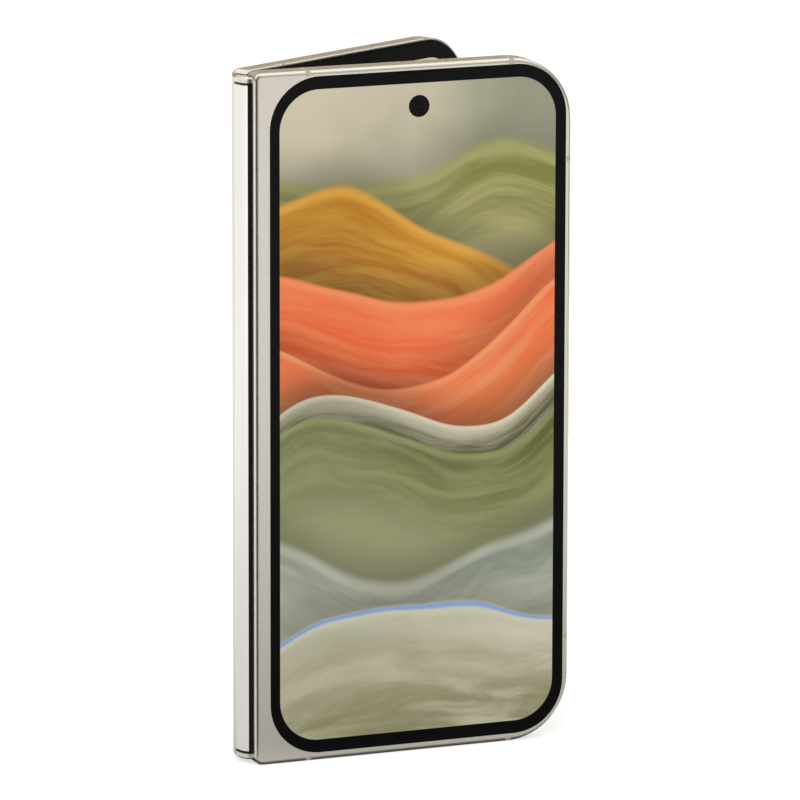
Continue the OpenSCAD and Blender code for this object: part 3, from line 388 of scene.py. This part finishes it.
def rimmed(name, tone, place, metallic, rough):
    """A half's frame or its bands, coated black on the inner face inside the bright rim."""
    m = Nodes(name)
    x, depth, z = half_place(m, place)
    past_hinge = -20.0   # no rim stays bright on the hinge side
    box = (past_hinge, RIM, HALF_W - RIM, HALF_H - RIM)
    edge = rounded_distance(m, x, z, box, CORNER_R - RIM)
    bare = m.sub(1.0, m.mul(m.below(edge, 0.0, 0.02), m.below(depth, 0.04, 0.02)))
    finish = blasted(m, tone, rough)
    finish["Base_Color"] = m.mix(bare, srgb(6, 6, 7), finish["Base_Color"])
    return m.surface(Metallic=m.mul(bare, metallic), Specular_IOR_Level=0.15, **finish)


def wallpaper(m, u, v):
    """A generic abstract picture of silky dunes lying over each other, crossed by fine strands.
    u and v run from 0 to 1 over the short and long way of a tall screen."""
    tall = 2.1
    where = m.joined(u, m.mul(v, tall))
    warp = m.sub(m.noise(where, 1.5, 1), 0.5)
    fine_warp = m.sub(m.noise(where, 2.9), 0.5)

    def crest(base, amp, freq, phase, slope):
        """How far below a dune's crest a place lies; above it the number is negative."""
        h = m.add(m.mul(m.math("SINE", m.add(m.mul(u, freq), phase)), amp), base)
        h = m.add(m.add(h, m.mul(u, slope)), m.mul(warp, 0.1))
        return m.sub(h, v)

    def strands(depth, fine, seed):
        """Fibres that run along the crest."""
        across = m.mul(m.add(depth, m.mul(fine_warp, 0.03)), fine)
        fibres = m.noise(m.joined(m.mul(u, 1.4), across, seed), 1.6, 4, 0.6, 0.4)
        return m.step(fibres, 0.34, 0.68)

    def dune(colour, depth, size, tones, glow, soft, seed, shade, fine=26.0):
        """A dune over what lies behind it. Its tones run from the crest down over its size, glow
        is its strands' colour, soft blurs its crest, and shade is how much it darkens the rest."""
        top, middle, foot, glow = [srgb(*tone) for tone in (*tones, glow)]
        covers = m.above(depth, 0.0, soft)
        behind = m.mix(shade, colour, srgb(52, 48, 34))
        colour = m.mix(m.step(depth, -0.075, 0.0, 0.0, 0.85), colour, behind)
        body = m.mix(m.step(depth, 0.0, size * 0.45), top, middle)
        body = m.mix(m.step(depth, size * 0.35, size), body, foot)
        body = m.mix(m.mul(strands(depth, fine, seed), 0.62), body, glow)
        left = m.step(m.add(u, m.mul(fine_warp, 1.3)), 0.05, 1.0, 0.3, 0.0)
        body = m.mix(left, body, foot)
        rim = m.mul(covers, m.step(depth, soft, soft + 0.012, 1.0, 0.0))
        return m.mix(m.mul(rim, 0.6), m.mix(covers, colour, body), glow)

    sky = m.mix(m.step(v, 0.6, 1.0), srgb(160, 156, 130), srgb(204, 194, 168))
    haze = m.step(m.add(u, m.mul(fine_warp, 0.9)), 0.15, 1.0)
    colour = m.mix(haze, sky, srgb(150, 150, 128))
    colour = dune(colour, crest(0.885, 0.035, 5.2, 3.6, -0.03), size=0.2,
                  tones=((122, 126, 62), (134, 132, 76), (168, 160, 120)),
                  glow=(176, 172, 116), soft=0.012, seed=1.0, shade=0.3)
    colour = dune(colour, crest(0.80, 0.055, 4.3, 0.5, -0.07), size=0.2,
                  tones=((196, 132, 34), (176, 108, 30), (142, 106, 42)),
                  glow=(228, 172, 76), soft=0.006, seed=4.0, shade=0.4)
    colour = dune(colour, crest(0.66, 0.085, 3.3, 2.3, 0.13), size=0.3,
                  tones=((240, 120, 74), (226, 84, 42), (206, 98, 46)),
                  glow=(242, 148, 100), soft=0.004, seed=7.0, shade=0.5, fine=30.0)
    colour = dune(colour, crest(0.585, 0.07, 3.9, 2.9, 0.06), size=0.26,
                  tones=((236, 104, 62), (222, 118, 66), (196, 134, 84)),
                  glow=(238, 158, 108), soft=0.003, seed=9.0, shade=0.42, fine=18.0)
    colour = dune(colour, crest(0.462, 0.05, 5.0, 0.9, 0.10), size=0.03,
                  tones=((214, 204, 176), (188, 182, 150), (96, 98, 58)),
                  glow=(232, 224, 200), soft=0.002, seed=12.0, shade=0.6)
    colour = dune(colour, crest(0.425, 0.052, 4.7, 1.05, 0.09), size=0.2,
                  tones=((92, 96, 48), (112, 116, 70), (146, 146, 116)),
                  glow=(150, 152, 104), soft=0.004, seed=15.0, shade=0.5, fine=20.0)
    colour = dune(colour, crest(0.30, 0.06, 4.0, 3.0, -0.02), size=0.24,
                  tones=((122, 132, 118), (146, 152, 136), (170, 168, 148)),
                  glow=(184, 184, 166), soft=0.01, seed=18.0, shade=0.4, fine=12.0)
    lowest = crest(0.135, 0.045, 3.2, 0.6, 0.05)
    colour = dune(colour, lowest, size=0.16,
                  tones=((188, 186, 164), (168, 164, 138), (132, 130, 96)),
                  glow=(204, 198, 176), soft=0.006, seed=21.0, shade=0.35, fine=14.0)
    blue_line = m.mul(m.step(lowest, -0.003, 0.001), m.step(lowest, 0.002, 0.007, 1.0, 0.0))
    return m.mix(m.mul(blue_line, 0.85), colour, srgb(112, 152, 214))


def pictured(m, x, z, box):
    """The wallpaper spread over a box."""
    u = m.math("DIVIDE", m.sub(x, box[0]), box[2] - box[0])
    v = m.math("DIVIDE", m.sub(z, box[1]), box[3] - box[1])
    return wallpaper(m, u, v)


def cover_stack():
    """The cover glass with the panel bonded behind it: lit inside a rounded rectangle, black
    round it, and clear over the camera."""
    m = Nodes("cover_glass")
    split = m.split(m.coords())
    x = m.add(m.mul(split["X"], 1000.0), HALF_W / 2)
    z = m.mul(split["Z"], 1000.0)
    depth = m.sub(HALF_T / 2, m.mul(split["Y"], 1000.0))
    outer_face = m.step(depth, HALF_T - 0.06, HALF_T - 0.03)
    lit = m.mul(m.below(rounded_distance(m, x, z, LIT, LIT_R), 0.0, 0.05), outer_face)
    hole = m.hypot(m.sub(x, SELFIE[0]), m.sub(z, SELFIE[2]))
    clear = m.below(hole, CLEAR_R, 0.025)
    film = m.noise(m.coords(), 90)
    return m.surface(Base_Color=m.mix(clear, srgb(3, 3, 4), srgb(120, 120, 126)),
                     Roughness=m.spread(film, 0.02, 0.05, start=0.3),
                     IOR=1.2, Transmission_Weight=clear,
                     Emission_Color=pictured(m, x, z, LIT),
                     Emission_Strength=m.mul(lit, m.above(hole, SELFIE_R, 0.05)))


def inner_screen():
    """The folding display: its UV map runs over the unfolded screen, in metres."""
    m = Nodes("folding_display_light")
    split = m.split(m.node("ShaderNodeUVMap", uv_map="unfolded").outputs[0])
    s, z = m.mul(split["X"], 1000.0), m.mul(split["Y"], 1000.0)
    lit = m.below(rounded_distance(m, s, z, INNER_LIT, INNER_LIT_R), 0.0, 0.04)
    hole = m.hypot(m.sub(s, INNER_SELFIE[0] + LIP_GAP / 2), m.sub(z, INNER_SELFIE[2]))
    # the picture runs from the rear half's far edge to the front half's
    return m.surface(Base_Color=srgb(5, 5, 6), Roughness=0.2, Specular_IOR_Level=0.15,
                     Emission_Color=pictured(m, m.mul(s, -1.0), z, INNER_PICTURE),
                     Emission_Strength=m.mul(lit, m.above(hole, INNER_SELFIE_R, 0.04)))


FRAME_TONE = srgb(235, 229, 219)
BAND_TONE = srgb(177, 170, 157)
MATERIALS = {
    "frame_metal": satin_metal("frame_metal", FRAME_TONE),
    "polished_metal": polished_metal(),
    "bright_steel": brushed("bright_steel", srgb(176, 176, 180), 0.32, (1, 1, 14)),
    "dark_steel": brushed("dark_steel", srgb(92, 92, 96), 0.42, (1, 1, 10)),
    "brass_parts": brushed("brass_parts", srgb(206, 172, 104), 0.3, (6, 6, 1)),
    "cover_glass": cover_stack(),
    "back_glass": satin_glass("back_glass", srgb(226, 220, 209)),
    "display_black": plastic("display_black", srgb(14, 14, 15), 0.25),
    "folding_display": inner_screen(),
    "bezel_black": plastic("bezel_black", srgb(7, 7, 8), 0.4, gloss=0.12),
    "seal_rubber": plastic("seal_rubber", srgb(9, 9, 10), 0.6, gloss=0.25),
    "module_black": plastic("module_black", srgb(30, 30, 32), 0.5, 3000),
    "camera_black": plastic("camera_black", srgb(12, 12, 14), 0.2),
    "battery_foil": plastic("battery_foil", srgb(52, 52, 55), 0.4, 1500),
    "circuit_board": circuit_board(),
    "flex_ribbon": plastic("flex_ribbon", srgb(178, 120, 44), 0.35, 2500),
    "coil_copper": windings(),
    "flash_lens": flash_lens(),
}
WINDOW_GLASS = window_glass("lens_window_glass")

# Nodes whose finish differs from the rest of their slot
SPECIAL = {
    "hinge_end_caps": capped_metal("end_cap_metal", FRAME_TONE),
    "lens_window_upper": WINDOW_GLASS,
    "lens_window_lower": WINDOW_GLASS,
    "selfie_camera": camera_front("selfie_face", from_front(*SELFIE), SELFIE_FACE_R),
    "inner_selfie_camera": camera_front("inner_selfie_face", from_rear(*INNER_SELFIE), INNER_SELFIE_FACE_R),
}
for half, place in (("front", from_front), ("rear", from_rear)):
    SPECIAL[half + "_frame"] = rimmed(half + "_frame_metal", FRAME_TONE, place, 1.0, 0.27)
    SPECIAL[half + "_antenna_bands"] = rimmed(half + "_band_plastic", BAND_TONE, place, 0.0, 0.45)

SLOT_OF = {s["node"]: s["material_slot"] for s in frame["record"]["subparts"]}
for name, obj in NODES.items():
    obj.data.materials.clear()
    obj.data.materials.append(SPECIAL.get(name) or MATERIALS[SLOT_OF[name]])


# ------------------------------------------------------------------ pieces
def linked(name, bm, material):
    mesh = bpy.data.meshes.new(name)
    bm.to_mesh(mesh)
    bm.free()
    mesh.materials.append(material)
    obj = bpy.data.objects.new(name, mesh)
    bpy.context.scene.collection.objects.link(obj)
    return obj


def add_piece(name, bm, material):
    bmesh.ops.remove_doubles(bm, verts=bm.verts, dist=1e-8)
    bmesh.ops.recalc_face_normals(bm, faces=bm.faces)
    obj = linked(name, bm, material)
    obj.data.shade_smooth()
    obj.data.set_sharp_from_angle(angle=math.radians(35))
    return obj


def wall(bm, one, two):
    """Faces between two closed rings of vertices."""
    for k in range(len(one)):
        n = (k + 1) % len(one)
        bm.faces.new((one[k], one[n], two[n], two[k]))


def turned_piece(name, centre, profile, closed, material, steps=72):
    """A ring, or a dome where the profile ends at radius 0, about an axis of the rear half. The
    profile is pairs of a radius and a depth."""
    bm = bmesh.new()
    rows = []
    for r, d in profile:
        turns = [2 * math.pi * k / steps for k in range(1 if r == 0 else steps)]
        rows.append([bm.verts.new(from_rear(centre[0] + r * math.cos(a), d, centre[1] + r * math.sin(a)))
                     for a in turns])
    pairs = list(zip(rows, rows[1:])) + ([(rows[-1], rows[0])] if closed else [])
    for one, two in pairs:
        if len(one) == len(two):
            wall(bm, one, two)
            continue
        for k in range(steps):
            n = (k + 1) % steps
            bm.faces.new((one[k], one[n], two[0]) if len(two) == 1 else (one[0], two[n], two[k]))
    obj = add_piece(name, bm, material)
    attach(obj, "rear_half")
    return obj


# Under each window: a stepped black baffle round a coated front lens
BARREL = [(3.45, 6.8), (2.86, 6.41), (2.45, 6.41), (2.45, 6.47), (2.62, 6.47), (2.62, 6.55),
          (2.8, 6.55), (2.8, 6.63), (2.98, 6.63), (2.98, 6.71), (3.16, 6.71), (3.16, 6.8)]
DOME_R, DOME_EDGE, DOME_RISE, DOME_BACK = 2.35, 6.38, 0.36, 6.36
DOME = [(0, DOME_BACK),
        *((DOME_R * math.sin(math.radians(a)), DOME_EDGE + DOME_RISE * math.cos(math.radians(a)))
          for a in range(90, 0, -10)),
        (0, DOME_EDGE + DOME_RISE)]
for tag, spot in zip(("main", "ultrawide", "tele"), LENSES):
    turned_piece(tag + "_barrel", spot, BARREL, True,
                 plastic(tag + "_barrel", srgb(12, 12, 13), 0.45))
    turned_piece(tag + "_lens", spot, DOME, False,
                 lens_glass(tag + "_lens", from_rear(spot[0], LENS_DEPTH, spot[1])))

# Black mesh in the microphone hole beside the cameras
turned_piece("rear_mic_mesh", MIC, [(0, 4.58), (0.37, 4.58), (0.37, 4.74), (0, 4.74)], False,
             plastic("mic_mesh", srgb(16, 16, 17), 0.7, 9000), steps=24)


# The folding display: one flat sheet on each half and, between them, a strip on each side of
# the fold. Their UV map is the unfolded screen, so the picture runs across all four. side is -1
# for the front half and 1 for the rear half.
OPEN_X = PIVOT.x + PIVOT.y - FACE_Y
HALF_LENGTH = FOLD_SPAN + LIP_GAP / 2
OPENING_LEFT = math.pi / 2 - TURN
BEND_START, BEND_END = 0.03, 0.95   # shares of a strip between which it bends
ARC_STEPS, STRIP_STEPS, SETTLE_ROUNDS = 16, 36, 80


def display_piece(name, bm, spots):
    """spots holds each vertex's place on the unfolded screen, in metres."""
    obj = add_piece(name, bm, MATERIALS["folding_display"])
    layer = obj.data.uv_layers.new(name="unfolded")
    for loop in obj.data.loops:
        layer.data[loop.index].uv = spots[loop.vertex_index]
    return obj


def flat_display(name, node, place, side, body):
    far, low, high = HALF_W - FLEX_MARGIN, FLEX_MARGIN, HALF_H - FLEX_MARGIN
    outline = []
    for cz, a0 in ((high - FLEX_R, 90), (low + FLEX_R, 0)):
        for k in range(ARC_STEPS + 1):
            a = math.radians(a0 - 90 * k / ARC_STEPS)
            outline.append((far - FLEX_R + FLEX_R * math.cos(a), cz + FLEX_R * math.sin(a)))
    outline += [(FOLD_SPAN, low), (FOLD_SPAN, high)]
    bm = bmesh.new()
    top, back = [[bm.verts.new(place(x, d, z)) for x, z in outline]
                 for d in (FLEX_DROP, FLEX_DROP + FLEX_T)]
    bm.verts.index_update()
    bm.faces.new(top)
    bm.faces.new(back[::-1])
    wall(bm, top, back)
    obj = display_piece(name, bm, [(side * (x + LIP_GAP / 2) * MM, z * MM) for x, z in outline] * 2)
    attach(obj, body)
    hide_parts(node)


def folded(x, s, side, start, end):
    """Where a point of the open display, s from the middle, lies at rest. A blended point turns by
    a share that depends on its place at rest, so the two are found by going round until they agree."""
    centre = (PIVOT.x, side * PIVOT.y)
    share = min(1.0, s / HALF_LENGTH)
    for _ in range(SETTLE_ROUNDS):
        p = turned((x, side * s), centre, -side * share * OPENING_LEFT)
        world = from_spine(p.x, p.y, 0)
        t = max(0.0, min(1.0, (world - start).dot(end - start) / (end - start).length_squared))
        share = 0.5 * share + 0.5 * t * t * (3 - 2 * t)
    return p


def fold_strip(name, side):
    top, back = OPEN_X - FLEX_DROP, OPEN_X - FLEX_DROP - FLEX_T
    mid = OPEN_X - FLEX_DROP - FLEX_T / 2
    middle = from_spine(mid, 0, 0)
    p = turned((mid, side * HALF_LENGTH), (PIVOT.x, side * PIVOT.y), -side * OPENING_LEFT)
    edge = from_spine(p.x, p.y, 0)
    start, end = middle.lerp(edge, BEND_START), middle.lerp(edge, BEND_END)
    bm = bmesh.new()
    spots, rings = [], []
    stops = [HALF_LENGTH * k / STRIP_STEPS for k in range(STRIP_STEPS + 1)]
    loop = [(top, s) for s in stops] + [(back, s) for s in stops[::-1]]
    for z in (FLEX_MARGIN, HALF_H - FLEX_MARGIN):
        ring = []
        for x, s in loop:
            q = folded(x, s, side, start, end)
            ring.append(bm.verts.new(from_spine(q.x, q.y, z)))
            spots.append((side * s * MM, z * MM))
        rings.append(ring)
    bm.verts.index_update()
    wall(bm, *rings)
    n = len(loop)
    for ring in rings:
        for k in range(STRIP_STEPS):
            bm.faces.new((ring[k], ring[k + 1], ring[n - 2 - k], ring[n - 1 - k]))
    obj = display_piece(name, bm, spots)
    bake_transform(obj)
    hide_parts("inner_display_fold")


flat_display("inner_screen_front", "inner_display_front", from_front, -1, "front_half")
flat_display("inner_screen_rear", "inner_display_rear", from_rear, 1, "rear_half")
fold_strip("inner_fold_front", -1)
fold_strip("inner_fold_rear", 1)


# ------------------------------------------------------------------ floor, light and camera
# Lengths are in metres from here on. The floor is FLOOR_TONE for plain light, and part lit, part
# glowing for the rays that see the background, so that it is white and keeps the shadow.
# The last tone is a painted contact shadow: the floor's colour in reflections where the object stands on
# it.
FLOOR_TONE, SEEN_TONE, SEEN_GLOW, PAINTED_CONTACT_SHADOW_TONE = 0.8, 0.44, 0.66, 0.12
FOOT_X, FOOT_Y, FOOT_MIDDLE_Y = 0.038, 0.02, 0.018   # the patch that the phone stands on
LEFT = (-0.052, -0.042)   # the hinge cover mirrors the floor left of these, the front half right of them


def seen_as_background(m):
    """1 for the rays that see the background: the camera's, reflections and what glass lets by."""
    path = m.node("ShaderNodeLightPath").outputs
    either = m.math("MAXIMUM", path["Is Camera Ray"], path["Is Glossy Ray"])
    return m.math("MAXIMUM", either, path["Is Transmission Ray"])


def beyond(m, value, middle, reach):
    """How far a value lies outside middle, plus or minus reach."""
    return m.math("MAXIMUM", m.sub(m.math("ABSOLUTE", m.sub(value, middle)), reach), 0.0)


def floor_white():
    """A white floor that keeps the object's shadow. Reflections see it with painted shade, fading towards
    the object, with a painted highlight in a ring close round the foot and a painted contact shadow, dark,
    where the object stands on it."""
    m = Nodes("floor_white")
    plain, pale = m.node("ShaderNodeBsdfDiffuse"), m.node("ShaderNodeBsdfDiffuse")
    glow = m.node("ShaderNodeEmission")
    m.put(plain.inputs["Color"], (FLOOR_TONE,) * 3)
    m.put(glow.inputs["Color"], (1, 1, 1))
    x, y, _ = m.split(m.node("ShaderNodeNewGeometry").outputs["Position"])
    gap = m.hypot(beyond(m, x, 0.0, FOOT_X), beyond(m, y, FOOT_MIDDLE_Y, FOOT_Y))
    # Painted shade for reflections: the floor's glow falls from highest far off to lowest near the object,
    # most in front of it
    behind = m.mul(m.math("MAXIMUM", y, 0.0), m.step(x, *LEFT, 0.5, 3.0))
    lowest = m.step(x, *LEFT, 0.27, 0.022)
    highest = m.step(x, -0.06, 0.02, 0.585, 0.48)
    fade = m.add(m.mul(m.step(m.add(gap, behind), 0.03, 0.56), m.sub(highest, lowest)), lowest)
    # A painted highlight: reflections see a brighter ring on the floor within about 16 mm of the foot
    fade = m.add(fade, m.step(gap, 0.002, 0.016, 0.18, 0.0))
    # A painted contact shadow: reflections see the floor dark and without glow within a few millimetres of
    # the foot
    clear = m.step(gap, 0.0012, 0.0034)
    mirrored = m.node("ShaderNodeLightPath").outputs["Is Glossy Ray"]
    dimming = m.mul(mirrored, m.sub(m.mul(fade, clear), SEEN_GLOW))
    m.put(glow.inputs["Strength"], m.add(dimming, SEEN_GLOW))
    m.put(pale.inputs["Color"],
          m.mix(m.mul(mirrored, m.sub(1.0, clear)), (SEEN_TONE,) * 3, (PAINTED_CONTACT_SHADOW_TONE,) * 3))
    both = m.filled(m.node("ShaderNodeAddShader"), {0: pale.outputs[0], 1: glow.outputs[0]})
    pick = m.filled(m.node("ShaderNodeMixShader"),
                    {0: seen_as_background(m), 1: plain.outputs[0], 2: both.outputs[0]})
    m.put(m.out.inputs[0], pick.outputs[0])
    return m.mat


def arc(middle, radius, first, last, steps=12):
    """Places on an arc, whose angles run from the left towards the front."""
    turns = [math.radians(first + (last - first) * k / steps) for k in range(steps + 1)]
    return [(middle - radius * math.cos(a), -radius * math.sin(a)) for a in turns]


def card(name, places, low, high, tone=(48, 42, 36)):
    """A standing card, seen only in reflections: it draws the edges of metal."""
    m = Nodes(name)
    plain = m.filled(m.node("ShaderNodeBsdfDiffuse"), {"Color": srgb(*tone)})
    m.put(m.out.inputs[0], plain.outputs[0])
    bm = bmesh.new()
    rows = [[bm.verts.new((x, y, z)) for z in (low, high)] for x, y in places]
    for one, two in zip(rows, rows[1:]):
        bm.faces.new((one[0], two[0], two[1], one[1]))
    obj = linked(name, bm, m.mat)
    obj.visible_camera = obj.visible_diffuse = obj.visible_shadow = obj.visible_transmission = False


def make_floor_and_cards():
    bm = bmesh.new()
    bmesh.ops.create_grid(bm, x_segments=2, y_segments=2, size=3.0)
    floor = linked("floor", bm, floor_white())
    floor.location.z = -0.00002   # just clear of what stands on it
    card("dark_card_left", arc(-0.04, 0.3, 50, 97), 0.0, 0.5)
    card("dark_card_near", [(-0.0415, -0.0048), (-0.0415, -0.06)], 0.0, 0.2)
    card("dark_card_right", arc(0.05, 0.3, 152, 176), 0.03, 0.15)
    card("grey_card_back", arc(-0.02, 0.36, -128, -92), 0.0, 0.4, (176, 166, 148))


def make_world():
    """A soft sky, pale overhead and dimmer towards the horizon."""
    world = bpy.data.worlds.new("studio")
    bpy.context.scene.world = world
    world.use_nodes = True
    nodes, links = world.node_tree.nodes, world.node_tree.links
    split, rise = nodes.new("ShaderNodeSeparateXYZ"), nodes.new("ShaderNodeMapRange")
    rise.interpolation_type = "SMOOTHSTEP"
    rise.inputs["From Min"].default_value = 0.25
    rise.inputs["From Max"].default_value = 0.8
    blend = nodes.new("ShaderNodeMix")
    blend.data_type = "RGBA"
    blend.inputs[6].default_value = (0.34, 0.315, 0.275, 1)
    blend.inputs[7].default_value = (1.15, 1.15, 1.13, 1)
    links.new(nodes.new("ShaderNodeTexCoord").outputs["Generated"], split.inputs[0])
    links.new(split.outputs["Z"], rise.inputs["Value"])
    links.new(rise.outputs["Result"], blend.inputs[0])
    links.new(blend.outputs[2], nodes["Background"].inputs["Color"])


def make_key_light():
    place, aim = Vector((-0.45, -0.75, 0.75)), Vector((0, 0, 0.08))
    light = bpy.data.lights.new("key", "AREA")
    light.shape = "RECTANGLE"
    light.size = light.size_y = 0.5
    light.energy = 4.5
    obj = bpy.data.objects.new("key", light)
    bpy.context.scene.collection.objects.link(obj)
    obj.location = place
    obj.rotation_euler = (aim - place).to_track_quat("-Z", "Y").to_euler()


# The camera, fitted to the object's outline in the photograph
IMAGE = 800.0
FOCAL, SHIFT = 7234.5, (-5.4, 6.1)   # in pixels of that image
AIM, DISTANCE = (37.5, 0.1, 77.6), 1.6036   # aimed at a place on the front half
AZIMUTH, ELEVATION, ROLL = math.radians(22.04), math.radians(11.85), math.radians(0.14)


def make_camera():
    flat = math.cos(ELEVATION)
    back = Vector((-math.sin(AZIMUTH) * flat, -math.cos(AZIMUTH) * flat, math.sin(ELEVATION)))
    data = bpy.data.cameras.new("camera")
    data.sensor_width = 36
    data.lens = FOCAL / IMAGE * data.sensor_width
    data.shift_x, data.shift_y = SHIFT[0] / IMAGE, SHIFT[1] / IMAGE
    data.clip_start, data.clip_end = 0.05, 20
    cam = bpy.data.objects.new("camera", data)
    bpy.context.scene.collection.objects.link(cam)
    cam.location = from_front(*AIM) + back * DISTANCE
    cam.rotation_mode = "QUATERNION"
    level = (-back).to_track_quat("-Z", "Y")
    cam.rotation_quaternion = level @ Matrix.Rotation(ROLL, 3, "Z").to_quaternion()
    bpy.context.scene.camera = cam


make_floor_and_cards()
make_world()
make_key_light()
make_camera()
bpy.context.scene.view_settings.view_transform = "Standard"
